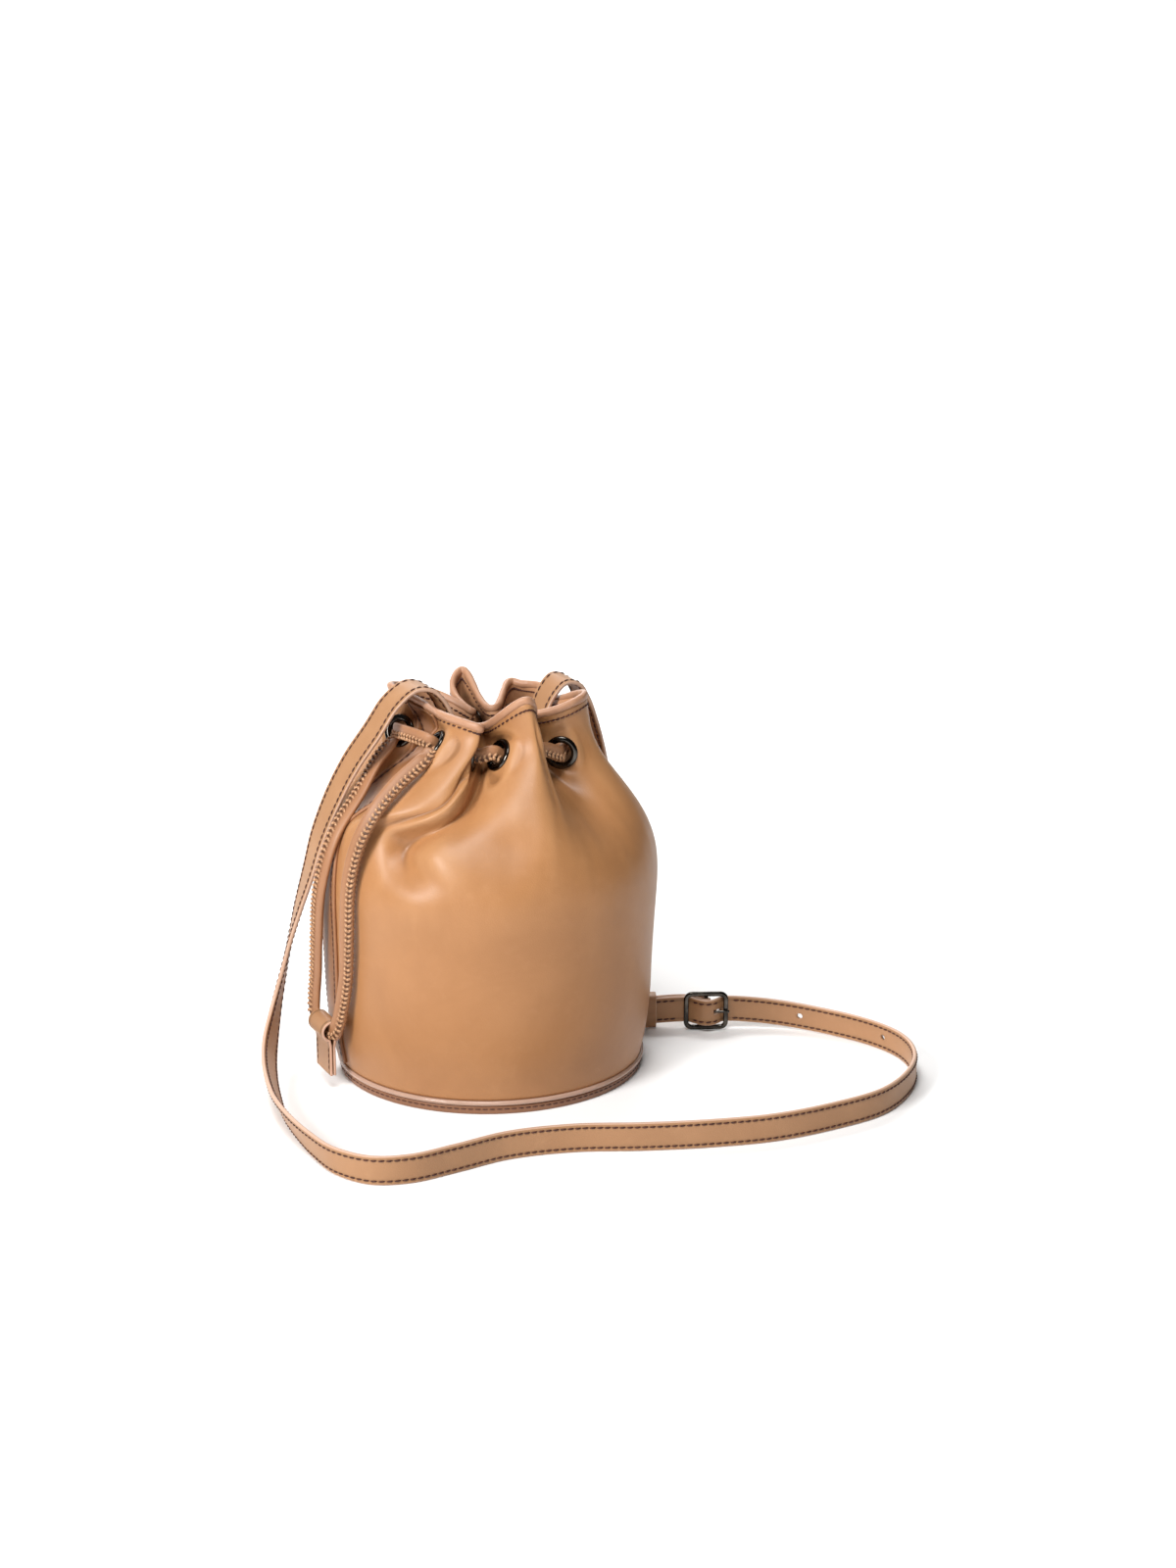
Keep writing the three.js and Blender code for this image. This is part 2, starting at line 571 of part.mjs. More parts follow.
// From inside the mouth at the left seam, over the rim, down to the floor, round the front and
// back to the buckle, where the last stretch is the tail beyond it.
const longStrapRoute = [
  [-20, -4, 197, 0.36, -0.93, -0.1, long], [-24, -4, 208, 0.36, -0.93, -0.1, long],
  [-29, -3.5, 218.5, 0.36, -0.93, -0.1, long], [-35.5, -4, 225.6, 0.36, -0.92, -0.15, long],
  [-45, -5.5, 227.2, 0.36, -0.92, -0.2, long], [-56.5, -7.5, 219.5, 0.34, -0.88, -0.3, long],
  [-67.5, -8.5, 204, 0.32, -0.85, -0.4, long], [-80, -6.5, 185.5, 0.3, -0.84, -0.43, long],
  [-89.5, -3, 166, 0.3, -0.85, -0.4, long], [-98, 1.5, 143, 0.25, -0.9, -0.3, long],
  [-103.5, 6, 121, 0.15, -0.95, -0.2, long], [-108.5, 14, 99, 0, -0.98, -0.1, long],
  [-112.5, 21, 79, -0.15, -0.98, 0.02, long], [-116.5, 26, 58, -0.25, -0.95, 0.15, long],
  [-120.5, 26.5, 40, -0.35, -0.85, 0.4, long], [-125, 18, 26, -0.42, -0.6, 0.65, long],
  [-129.5, 2, 17.5, -0.48, -0.3, 0.82, long], [-132.5, -18, 13, -0.5, -0.1, 0.86, long],
  [-134, -42, 10.5, -0.5, 0, 0.87, long], [-134, -68, 9.3, -0.45, 0, 0.9, long],
  [-131, -94, 8.9, -0.35, -0.1, 0.94, long], [-125, -122, 8.6, -0.2, -0.1, 0.97, long],
  [-116, -147, 8.4, -0.08, -0.06, 0.99, long], [-100, -163, 8.2, 0, 0, 1, long],
  [-80, -166, 8.2, 0, 0, 1, long], [-55, -159, 8.2, 0, 0, 1, long], [-24, -149, 8.2, 0, 0, 1, long],
  [12, -148.5, 8.2, 0, 0, 1, long], [48, -156, 8.2, 0, 0, 1, long], [84, -161, 8.2, 0, 0, 1, long],
  [120, -162, 8.2, 0, 0, 1, long], [156, -155, 8.2, 0, 0, 1, long], [190, -142, 8.2, 0, 0, 1, long],
  [215, -118, 8.2, 0, 0, 1, long], [229, -92, 8.2, 0, 0, 1, long], [232, -65, 8.2, 0, 0, 1, long],
  [223, -39, 8.2, 0, 0, 1, long], [201, -12.5, 8.8, 0, 0, 1, long], [177, 4, 10.5, 0, 0, 1, long],
  [158, 10.5, 12, 0, 0, 1, long], [149.2, 12.5, 12.4, 0, 0, 1, long], [145.6, 12.2, 12.4, 0, 0, 1, long],
  [142, 9.6, 12.4, 0, 0, 1, long], [138, 7.5, 12.4, 0, 0, 1, long], [133.7, 8.2, 12.4, 0, 0, 1, long],
  [130.2, 12.2, 12.4, 0, 0, 1, long], [127, 16.8, 12.4, 0, 0, 1, long], [122.5, 18.5, 12.4, 0, 0, 1, long],
  [107.5, 21.9, 11.6, 0, 0, 1, long], [99, 23.8, 10.8, 0, 0, 1, long], [92.7, 27, 9.6, 0, 0, 1, long],
  [87.8, 34, 8.7, 0, 0, 1, long], [83.5, 42.5, 8.3, 0, 0, 1, long],
];
// From inside the mouth at the right seam, over the rim and down behind the bag to the buckle,
// where it is skived thin, wraps the centre bar and is sewn back on itself.
const shortStrapRoute = [
  [28, 10, 194, -0.35, 0.93, 0.1, long], [33, 12, 205, -0.35, 0.93, 0.1, long],
  [38.5, 14.5, 215, -0.4, 0.9, 0.2, long], [46, 17.5, 221.5, -0.45, 0.87, 0.25, long],
  [54.5, 20.5, 219.5, -0.45, 0.88, 0.2, long], [61, 24, 209.5, -0.45, 0.9, 0.1, long],
  [67, 29, 193, -0.5, 0.87, 0, long], [73, 37, 174.5, -0.55, 0.84, 0, long],
  [78.5, 48, 152, -0.6, 0.8, 0, long], [79.5, 60.5, 128, -0.64, 0.77, 0, long],
  [74.5, 72, 104, -0.68, 0.73, 0, long], [71, 76, 80, -0.68, 0.73, 0, long],
  [66.5, 80, 56, -0.68, 0.73, -0.05, long], [63, 82.5, 34, -0.68, 0.7, -0.25, long],
  [64.5, 81, 19, -0.4, 0.45, -0.8, long], [71, 74.5, 11, -0.1, 0.1, -0.98, long],
  [79, 65.5, 9, 0, 0, -1, long], [86, 55.5, 9, 0, 0, -1, long], [91.3, 45, 9.4, 0, 0, -1, long],
  [94.5, 36, 10, 0, 0, -1, long], [99.6, 28.6, 10.8, 0, 0, -1, long], [108.3, 25.8, 11.6, 0, 0, -1, 1.8],
  [120, 22.9, 12.4, 0, 0, -1, thin], [127.8, 20.9, 12.4, 0, 0, -1, thin],
  [132.1, 17.7, 12.4, 0, 0, -1, thin], [135.7, 14.4, 12.4, 0, 0, -1, thin],
  [137.7, 13, 12.4, 0, 0, -1, thin], [138.1, 11.5, 12.4, 0, 0, -1, thin],
  [137.2, 10.2, 12.4, 0, 0, -1, thin], [135.5, 9.9, 12.4, 0, 0, -1, thin],
  [134, 11, 12.4, 0, 0, -1, thin], [131.6, 14.5, 12.4, 0, 0, -1, thin],
  [128.4, 18.8, 12.4, 0, 0, -1, thin], [123.5, 20.5, 12.4, 0, 0, -1, thin],
  [108, 23.9, 11.8, 0, 0, -1, thin],
];

const buckleCentre = new THREE.Vector3(136, 12, 12.4);
const buckleTurn = THREE.MathUtils.degToRad(-12.7);
const atBuckle = (geometry) => geometry.rotateZ(buckleTurn).translate(...buckleCentre.toArray());

// Holes for the prong stand this far along the strap, each with the strap's direction there.
const strapHoles = [
  [142, 9.6, 12.4, -55], [190.4, -4.4, 9.6, -38], [227.5, -48, 8.2, -66], [95, 25.7, 10.1, -30],
];
const strapHoleCutters = strapHoles.map(([x, y, z, turn]) =>
  new THREE.CylinderGeometry(strapHoleRadius, strapHoleRadius, 8, 10)
    .rotateZ(THREE.MathUtils.degToRad(turn)).translate(x, y, z));
add(bag, 'strap_long', cut(strap(longStrapRoute, 2), strapHoleCutters), strapLeather);
const prongSlot = atBuckle(new THREE.BoxGeometry(8.6, 7, 3.6).translate(0.3, 0, 0));
add(bag, 'strap_short', cut(strap(shortStrapRoute, 2), [prongSlot]), strapLeather);

// ---------------------------------------------------------------- buckle
function roundedRectangle(width, height, corner, Path) {
  const outline = new Path();
  const x = width / 2 - corner;
  const y = height / 2 - corner;
  const quarter = Math.PI / 2;
  outline.absarc(x, y, corner, 0, quarter, false);
  outline.absarc(-x, y, corner, quarter, 2 * quarter, false);
  outline.absarc(-x, -y, corner, 2 * quarter, 3 * quarter, false);
  outline.absarc(x, -y, corner, 3 * quarter, 4 * quarter, false);
  outline.closePath();
  return outline;
}
function ringPlate(outer, inner, depth, corner) {
  const shape = roundedRectangle(outer[0], outer[1], corner, THREE.Shape);
  shape.holes.push(roundedRectangle(inner[0], inner[1], corner / 2, THREE.Path));
  const plate = new THREE.ExtrudeGeometry(shape, { depth, bevelEnabled: false, curveSegments: 4 });
  return plate.translate(0, 0, -depth / 2);
}
const buckle = new THREE.Group();
buckle.position.copy(buckleCentre);
buckle.rotation.z = buckleTurn;
bag.add(buckle);
const buckleRing = ringPlate([buckleLength, buckleHeight],
  [buckleLength - 2 * buckleBar, buckleHeight - 2 * buckleBar], buckleThickness, 3).rotateX(Math.PI / 2);
const centreBar = new THREE.CylinderGeometry(centreBarRadius, centreBarRadius, buckleHeight - buckleBar, 12)
  .rotateX(Math.PI / 2);
add(buckle, 'buckle_frame', join(buckleRing, centreBar), darkNickel);

// The prong's eye turns on the centre bar, and its point rests on the frame's far bar.
const prongEyeWall = 1;
const prongStart = new THREE.Vector3(1.8, -1.1, 0);
const prongTip = new THREE.Vector3(buckleLength / 2 + 0.4, -buckleThickness / 2 - gap - prongRadius, 0);
function prongGeometry() {
  const inner = centreBarRadius + 0.25;
  const eye = outward(new THREE.LatheGeometry([
    [inner, -1.3], [inner + prongEyeWall, -1.3], [inner + prongEyeWall, 1.3], [inner, 1.3], [inner, -1.3],
  ].map(([r, y]) => new THREE.Vector2(r, y)), 14).rotateX(Math.PI / 2));
  const along = prongTip.clone().sub(prongStart);
  const pin = new THREE.CylinderGeometry(prongRadius * 0.8, prongRadius, along.length(), 10);
  pin.applyQuaternion(new THREE.Quaternion().setFromUnitVectors(new THREE.Vector3(0, 1, 0),
    along.clone().normalize()));
  const middle = prongStart.clone().add(prongTip).multiplyScalar(0.5);
  return join(eye, pin.translate(middle.x, middle.y, middle.z));
}
add(buckle, 'buckle_prong', prongGeometry(), darkNickel);

// ---------------------------------------------------------------- strap keeper
const keeperOpening = [8.8, strapWidth + 1.8];
const keeper = ringPlate([keeperOpening[0] + 2 * keeperWall, keeperOpening[1] + 2 * keeperWall],
  keeperOpening, keeperWidth, 1.4).rotateX(Math.PI / 2).rotateZ(Math.PI / 2);
const keeperSeat = new THREE.Group();
keeperSeat.position.set(104, 24.6, 11.6);
keeperSeat.rotation.z = buckleTurn;
bag.add(keeperSeat);
add(keeperSeat, 'strap_keeper', keeper, strapLeather);

export default bag;
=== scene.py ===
"""A drawstring bucket bag in smooth tan leather, standing on the floor with its strap round it.

Metres, +Z up. The origin is the middle of the base; the side seams are at -X and +X.
The leather is one tube of 24 columns, a column every 15 degrees of leather: odd columns carry
the eyelets, and even ones are the valleys and the peaks of the pleats.
"""
import math

import bpy
import numpy as np
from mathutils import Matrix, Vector


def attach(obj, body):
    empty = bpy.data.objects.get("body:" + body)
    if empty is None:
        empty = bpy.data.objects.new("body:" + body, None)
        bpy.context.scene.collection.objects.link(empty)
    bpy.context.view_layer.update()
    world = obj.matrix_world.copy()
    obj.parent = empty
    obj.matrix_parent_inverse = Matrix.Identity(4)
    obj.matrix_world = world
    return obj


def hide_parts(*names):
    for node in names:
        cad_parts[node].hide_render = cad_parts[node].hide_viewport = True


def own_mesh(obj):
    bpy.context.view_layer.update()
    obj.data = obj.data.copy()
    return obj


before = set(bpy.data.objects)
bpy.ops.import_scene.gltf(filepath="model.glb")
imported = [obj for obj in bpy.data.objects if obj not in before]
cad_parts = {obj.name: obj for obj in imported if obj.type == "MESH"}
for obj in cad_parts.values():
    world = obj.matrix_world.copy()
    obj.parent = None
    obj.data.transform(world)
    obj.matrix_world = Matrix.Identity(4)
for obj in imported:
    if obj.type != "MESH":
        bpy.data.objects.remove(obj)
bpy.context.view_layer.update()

MM = 0.001

# ---------------------------------------------------------------- sizes, as the CAD has them
BASE_RADIUS = 88 * MM
GATHER_RADIUS = 45 * MM
EYELET_HEIGHT = 193 * MM
RIM_HEIGHT = 215 * MM
LEATHER = 1.4 * MM
FACING = 0.9 * MM
STRIP_WIDTH = 29 * MM
STRIP_GAP = 0.6 * MM
STRIP_THICKNESS = 1.2 * MM
COLUMNS = 24
COLUMN_ARC = 24 * MM
BASE_EDGE_HEIGHT = 5 * MM
EYELET_HOLE = 11.5 * MM
EYELET_OUTER = 19 * MM
HOLE_RADIUS = 6.6 * MM
STRAP_WIDTH = 16 * MM
STRAP_THICKNESS = 2.4 * MM
UPRIGHT = np.array([0, 0, 1.0])


# ---------------------------------------------------------------- camera
def camera():
    """A still camera in front and a little to the left, looking slightly down."""
    data = bpy.data.cameras.new("camera")
    data.lens = 58.1625
    data.sensor_width = 36
    holder = bpy.data.objects.new("camera", data)
    holder.location = (-0.303096, -1.367176, 0.537552)
    holder.rotation_euler = (math.radians(75.142), 0, math.radians(-14.836))
    bpy.context.scene.collection.objects.link(holder)
    bpy.context.scene.camera = holder


camera()


# ---------------------------------------------------------------- meshes
def mesh_piece(name, points, faces, smooth=True, **values):
    """A mesh object from an array of points and a list of face arrays; each extra keyword is an
    array of one number per point, kept as an attribute for the materials."""
    mesh = bpy.data.meshes.new(name)
    corners = [face for group in faces for face in group.tolist()]
    mesh.from_pydata(np.asarray(points).reshape(-1, 3).tolist(), [], corners)
    for key, numbers in values.items():
        layer = mesh.attributes.new(key, "FLOAT", "POINT")
        layer.data.foreach_set("value", np.ascontiguousarray(numbers, np.float32).ravel())
    mesh.polygons.foreach_set("use_smooth", np.full(len(mesh.polygons), smooth))
    mesh.update()
    piece = bpy.data.objects.new(name, mesh)
    bpy.context.scene.collection.objects.link(piece)
    return piece


def place(piece, body, slot, material, *nodes):
    """Rides the piece on its body, gives it its finish and hides the CAD nodes it stands for."""
    piece.data.materials.clear()
    piece.data.materials.append(material)
    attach(piece, body)
    if nodes:
        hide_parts(*nodes)
    return piece


def grid_faces(rows, columns, closed=False, start=0):
    """Quads of a grid of rows by columns, joined end to end across the columns when closed."""
    i = np.arange(rows - 1)[:, None] * columns
    j = np.arange(columns if closed else columns - 1)[None]
    k = (j + 1) % columns
    return start + np.stack([i + j, i + k, i + columns + k, i + columns + j], -1).reshape(-1, 4)


def tube_faces(stations, sides, closed, start=0):
    """Quads round a swept section, with a flat cap at each end of an open one."""
    i = (np.arange(stations if closed else stations - 1) * sides)[:, None]
    after = (i + sides) % (stations * sides)
    j = np.arange(sides)[None]
    k = (j + 1) % sides
    quads = start + np.stack([i + j, i + k, after + k, after + j], -1).reshape(-1, 4)
    if closed:
        return [quads]
    ends = np.arange(sides)
    return [quads, start + ends[::-1][None], start + (stations - 1) * sides + ends[None]]


def unit(vectors):
    """Each vector at a length of one."""
    return vectors / np.maximum(np.linalg.norm(vectors, axis=-1, keepdims=True), 1e-12)


def square_to(vectors, tangents):
    """The part of each vector that is square to the path there, at a length of one."""
    return unit(vectors - (vectors * tangents).sum(-1, keepdims=True) * tangents)


def smooth_step(t):
    """0 up to 0, 1 from 1, and the cubic 3tt - 2ttt between."""
    t = np.clip(t, 0, 1)
    return t * t * (3 - 2 * t)


def quarter_circle(t):
    """0 up to 0, 1 from 1, and the arc sqrt(1 - (1 - t)(1 - t)) between."""
    return np.sqrt(np.clip(1 - (1 - np.clip(t, 0, 1)) ** 2, 0, 1))


def bell(t):
    """1 at 0, falling either way as exp(-tt)."""
    return np.exp(-t * t)


def around_circle(angle):
    """Points [cosine, sine] at each angle."""
    return np.stack([np.cos(angle), np.sin(angle)], -1)


# ---------------------------------------------------------------- the gathered leather
EYELET_ROW = np.array([
    [20, -7, -2], [36, 5, 0], [52, 17, 4], [64, 2, 0], [66, -17, -5], [82.5, 1, 0],
    [94.5, 16, 5], [107.5, 0, 0], [114.5, -17, -5], [132.5, 0, 0], [149.5, 15, 7], [173.3, 5, 6.5],
    [190.7, -14.5, 3], [219.6, 3, 6], [246.5, 12, 3], [246.6, -2.5, 1], [253.5, -17, -3],
    [265.7, -2.6, 1], [284, 15, 9], [293.9, 2, 2], [312.8, -13.4, -4], [317.2, 2.5, -2.5],
    [334.2, 16, 4], [357, 6, 0],
])
RIM_ROW = np.array([
    [21.3, 5.5, -4], [41.3, 10.8, -0.5], [56.9, 10.6, 0], [65.8, 6, 0], [69.1, -17.7, -9],
    [84.6, -4.7, -3], [90.8, 15.6, 7.6], [103.5, 2.6, -3], [99.7, -21.2, -10], [116.8, -2.4, -2],
    [141.9, 10.5, 6], [161.3, 10.3, 8.5], [182.2, -5.7, 2], [222.1, -0.8, 0.4], [251.4, 7.3, -2.6],
    [247.6, -4.4, -6], [249.4, -16.7, -8], [263.4, -4.8, -0.6], [279.1, 9.3, 14],
    [292.9, 1.6, 4], [303, -8, -1], [313.8, 5.5, 4.5], [333.3, 12.2, 8.5], [357, 7, 3.5],
])
# The level rows of the body: radius and height in millimetres, and their turn in degrees.
BODY_ROWS = [(88, 8, 0), (90.5, 20, 0.5), (94, 60, 3), (96, 95, 5.5), (96.5, 128, 7)]
ROW_LENGTHS = np.array([0, 12, 52, 87, 120, 149, 178, 200, 223]) * MM
EYELET_LENGTH = ROW_LENGTHS[7]
TOP = ROW_LENGTHS[8] - 3 * MM


def gathered_knots(row, height):
    """Knots at [direction, distance out from the gather radius, height over the row's]."""
    radius = GATHER_RADIUS + row[:, 1:2] * MM
    return np.hstack([radius * around_circle(np.radians(row[:, 0])), height + row[:, 2:] * MM])


def ring_knots(radius, height, turn):
    """A knot every 15 degrees of a level circle."""
    circle = radius * around_circle(np.radians(15 * np.arange(COLUMNS) + turn))
    return np.hstack([circle, np.full((COLUMNS, 1), height)])


def mixed_knots(low, high, inward, upward):
    """Knots a share of the way in and up from the shoulder to the eyelets."""
    return low + (high - low) * np.array([inward, inward, upward])


def folded(knots, fold):
    """The row with some of its knots moved to [direction, radius, height], by their number."""
    moved = knots.copy()
    for k, (turn, radius, height) in fold.items():
        way = math.radians(turn)
        moved[k] = np.array([radius * math.cos(way), radius * math.sin(way), height]) * MM
    return moved


# The long diagonal fold at the front left pulls these knots out of the two mixed rows.
LOWER_FOLD = {13: (199, 90, 155), 14: (216, 86, 156), 15: (224, 79, 148), 16: (238, 88, 151)}
UPPER_FOLD = {
    13: (212, 77, 172), 14: (230, 79, 173), 15: (243, 72, 172), 16: (247, 60, 169),
    17: (258, 69, 172),
}
# How far in and how far up the two mixed rows are from the shoulder to the eyelets.
LOWER_SHARE, UPPER_SHARE = (0.23, 0.38), (0.67, 0.71)
rings = [ring_knots(r * MM, z * MM, turn) for r, z, turn in BODY_ROWS]
eyelet_knots = gathered_knots(EYELET_ROW, EYELET_HEIGHT)
KNOTS = np.array(rings + [
    folded(mixed_knots(rings[-1], eyelet_knots, *LOWER_SHARE), LOWER_FOLD),
    folded(mixed_knots(rings[-1], eyelet_knots, *UPPER_SHARE), UPPER_FOLD),
    eyelet_knots, gathered_knots(RIM_ROW, RIM_HEIGHT),
])


def cubic(t, start, leaving, end, arriving):
    """The cubic from start to end over t from 0 to 1, with those slopes as it leaves and arrives."""
    return ((2 * t**3 - 3 * t**2 + 1) * start + (t**3 - 2 * t**2 + t) * leaving
            + (3 * t**2 - 2 * t**3) * end + (t**3 - t**2) * arriving)


def round_weights(u):
    """Weights on the 24 columns of the smooth closed curve, at u columns round."""
    eye = np.eye(COLUMNS)
    slopes = np.linalg.solve(4 * eye + np.roll(eye, 1, 0) + np.roll(eye, -1, 0),
                             3 * (np.roll(eye, -1, 0) - np.roll(eye, 1, 0)))
    k = np.floor(u).astype(int) % COLUMNS
    after = (k + 1) % COLUMNS
    return cubic((u - np.floor(u))[:, None], eye[k], slopes[k], eye[after], slopes[after])


def upward_weights(v):
    """Weights on the nine rows of the smooth open curve with free ends, at v metres up."""
    count = len(ROW_LENGTHS)
    step = np.diff(ROW_LENGTHS)
    eye = np.eye(count)
    left = np.zeros((count, count))
    right = np.zeros((count, count))
    inner = np.arange(1, count - 1)
    left[inner, inner - 1] = step[1:]
    left[inner, inner] = 2 * (step[1:] + step[:-1])
    left[inner, inner + 1] = step[:-1]
    right[inner] = 3 * ((step[:-1] / step[1:])[:, None] * (eye[2:] - eye[1:-1])
                        + (step[1:] / step[:-1])[:, None] * (eye[1:-1] - eye[:-2]))
    left[0, :2] = 2, 1
    left[-1, -2:] = 1, 2
    right[0] = 3 * (eye[1] - eye[0]) / step[0]
    right[-1] = 3 * (eye[-1] - eye[-2]) / step[-1]
    slopes = np.linalg.solve(left, right)
    k = np.clip(np.searchsorted(ROW_LENGTHS, v, side="right") - 1, 0, count - 2)
    reach = step[k][:, None]
    t = (v - ROW_LENGTHS[k])[:, None] / reach
    return cubic(t, eye[k], reach * slopes[k], eye[k + 1], reach * slopes[k + 1])


def plain_leather(u, v):
    """The outer face on a grid, u in columns round and v in metres up."""
    return np.einsum("vl,lkc,uk->vuc", upward_weights(v), KNOTS, round_weights(u))


def face_normals(face, u, v):
    """Unit normals by small steps each way along the face."""
    round_step = face(u + 0.03, v) - face(u - 0.03, v)
    up_step = face(u, v + 0.6 * MM) - face(u, v - 0.6 * MM)
    return unit(np.cross(round_step, up_step))


eyelet_columns = np.arange(1, COLUMNS, 2).astype(float)
at_eyelets = np.array([EYELET_LENGTH])
eyelet_centres = plain_leather(eyelet_columns, at_eyelets)[0]
eyelet_normals = face_normals(plain_leather, eyelet_columns, at_eyelets)[0]

# The long diagonal fold under the front left pleat, and the crisp side of the middle pleat:
# each a crease through [column, metres up] points, from its top down.
LONG_CREASE = np.array([
    [14.85, 0.208], [14.8, 0.192], [14.62, 0.178], [14.3, 0.168], [14.05, 0.156], [13.9, 0.144],
    [13.9, 0.134],
])
MIDDLE_CREASE = np.array([[18.25, 0.216], [18.35, 0.201], [18.6, 0.186], [18.65, 0.17], [18.5, 0.152]])


# Each crease's line, depth, reach and sharpness.
CREASES = [
    (LONG_CREASE, 4.6 * MM, 8 * MM, 0.9 * MM), (MIDDLE_CREASE, 2.6 * MM, 9 * MM, 1.3 * MM),
]


def crease(u, v, line, depth, reach, sharpness):
    """A fold along a line on the leather: its near side stands proud and drops off sharply at the
    line, as depth * d / (|d| + sharpness) * exp(-|d| / reach), fading towards the line's ends and
    rounder towards its foot."""
    places = line * [COLUMN_ARC, 1]
    here = np.stack(np.broadcast_arrays(u[None, :] * COLUMN_ARC, v[:, None]), -1)
    best = np.full(here.shape[:2], 1e9)
    signed = np.zeros(here.shape[:2])
    share = np.zeros(here.shape[:2])
    for k in range(len(places) - 1):
        along = places[k + 1] - places[k]
        t = np.clip(((here - places[k]) @ along) / (along @ along), 0, 1)
        offset = here - places[k] - t[..., None] * along
        distance = np.linalg.norm(offset, axis=-1)
        side = np.sign(along[0] * offset[..., 1] - along[1] * offset[..., 0])
        nearer = distance < best
        best = np.where(nearer, distance, best)
        signed = np.where(nearer, side * distance, signed)
        share = np.where(nearer, (k + t) / (len(places) - 1), share)
    fade = smooth_step(share / 0.2) * smooth_step((1 - share) / 0.5)
    rounding = sharpness * (1 + 5 * share**2)
    return depth * fade * signed / (best + rounding) * np.exp(-best / reach)


# The leather is flat to this distance from an eyelet's middle, and free again this much further.
HOLD_FLAT, HOLD_EASE = 9.7 * MM, 4 * MM
RIPPLE_HEIGHT = 0.12 * MM
# Each wave's turn for a column, its turn for a metre up, where it starts, and its share.
RIPPLE_WAVES = [(9.1, 40, 0, 0.5), (14.3, -65, 1.7, 0.3), (5.3, 110, 0.6, 0.35)]


def ripples(u, v):
    """Small soft waves of pulled leather, strongest between the shoulder and the eyelets."""
    strength = smooth_step((v - 0.09) / 0.06) * smooth_step((0.225 - v) / 0.03)
    waves = sum(np.sin(u * around + v[:, None] * upward + start) * share
                for around, upward, start, share in RIPPLE_WAVES)
    return RIPPLE_HEIGHT * strength[:, None] * waves


def leather_face(u, v):
    """The outer face with its creases and ripples, held flat round each eyelet."""
    points = plain_leather(u, v)
    normals = face_normals(plain_leather, u, v)
    lift = sum(crease(u, v, *fold) for fold in CREASES) + ripples(u, v)
    points = points + lift[..., None] * normals
    for column, centre, normal in zip(eyelet_columns, eyelet_centres, eyelet_normals):
        turn = (u - column + COLUMNS / 2) % COLUMNS - COLUMNS / 2
        away = np.hypot(turn[None, :] * COLUMN_ARC, v[:, None] - EYELET_LENGTH)
        hold = 1 - smooth_step((away - HOLD_FLAT) / HOLD_EASE)
        points = points - (hold * ((points - centre) @ normal))[..., None] * normal
    return points


def leather_layer(u, v, outer, inner, holes=0.0):
    """Points, faces and grid values of a sheet between two depths behind the outer face, closed
    at its edges, with round holes of that radius at the eyelets. Depths may vary over the grid."""
    points = leather_face(u, v)
    normals = face_normals(leather_face, u, v)
    rows, columns = points.shape[:2]
    closed = abs((u[-1] - u[0]) + (u[1] - u[0]) - COLUMNS) < 1e-6
    quads = grid_faces(rows, columns, closed)
    if holes:
        for centre, normal in zip(eyelet_centres, eyelet_normals):
            offset = points - centre
            along = offset @ normal
            spoke = offset - along[..., None] * normal
            away = np.linalg.norm(spoke, axis=-1)
            near = (np.abs(along) < 2 * MM) & (away < holes)
            quads = quads[~near.reshape(-1)[quads].all(axis=1)]
            rim = near & (away > holes - 3 * MM)
            pushed = centre + along[..., None] * normal + unit(spoke) * holes
            points = np.where(rim[..., None], pushed, points)
    outer_points = points - normals * np.broadcast_to(outer, (rows, columns))[..., None]
    inner_points = points - normals * np.broadcast_to(inner, (rows, columns))[..., None]
    sheet = rows * columns
    edges = np.concatenate([quads[:, [k, (k + 1) % 4]] for k in range(4)])
    keys = edges.min(1) * sheet + edges.max(1)
    _, first, counts = np.unique(keys, return_index=True, return_counts=True)
    border = edges[first[counts == 1]]
    walls = np.stack([border[:, 1], border[:, 0], border[:, 0] + sheet, border[:, 1] + sheet], 1)
    everything = np.concatenate([outer_points.reshape(-1, 3), inner_points.reshape(-1, 3)])
    return everything, [quads, quads[:, ::-1] + sheet, walls], points, normals


def drop_loose(points, faces, values):
    """Leaves out the points that no face uses."""
    used = np.unique(np.concatenate([group.ravel() for group in faces]))
    place_of = np.zeros(len(points), int)
    place_of[used] = np.arange(len(used))
    return points[used], [place_of[group] for group in faces], {k: v[used] for k, v in values.items()}


def bend_of(points, normals):
    """How far the face bows out (positive) or in at each place, within about 4 mm, in metres."""
    around = (np.roll(points, 4, 1) + np.roll(points, -4, 1)) / 2
    upward = np.concatenate([points[:3], points[:-3]])
    downward = np.concatenate([points[3:], points[-3:]])
    level = (upward + downward) / 2
    return ((points - around) * normals).sum(-1) + ((points - level) * normals).sum(-1) * 0.5


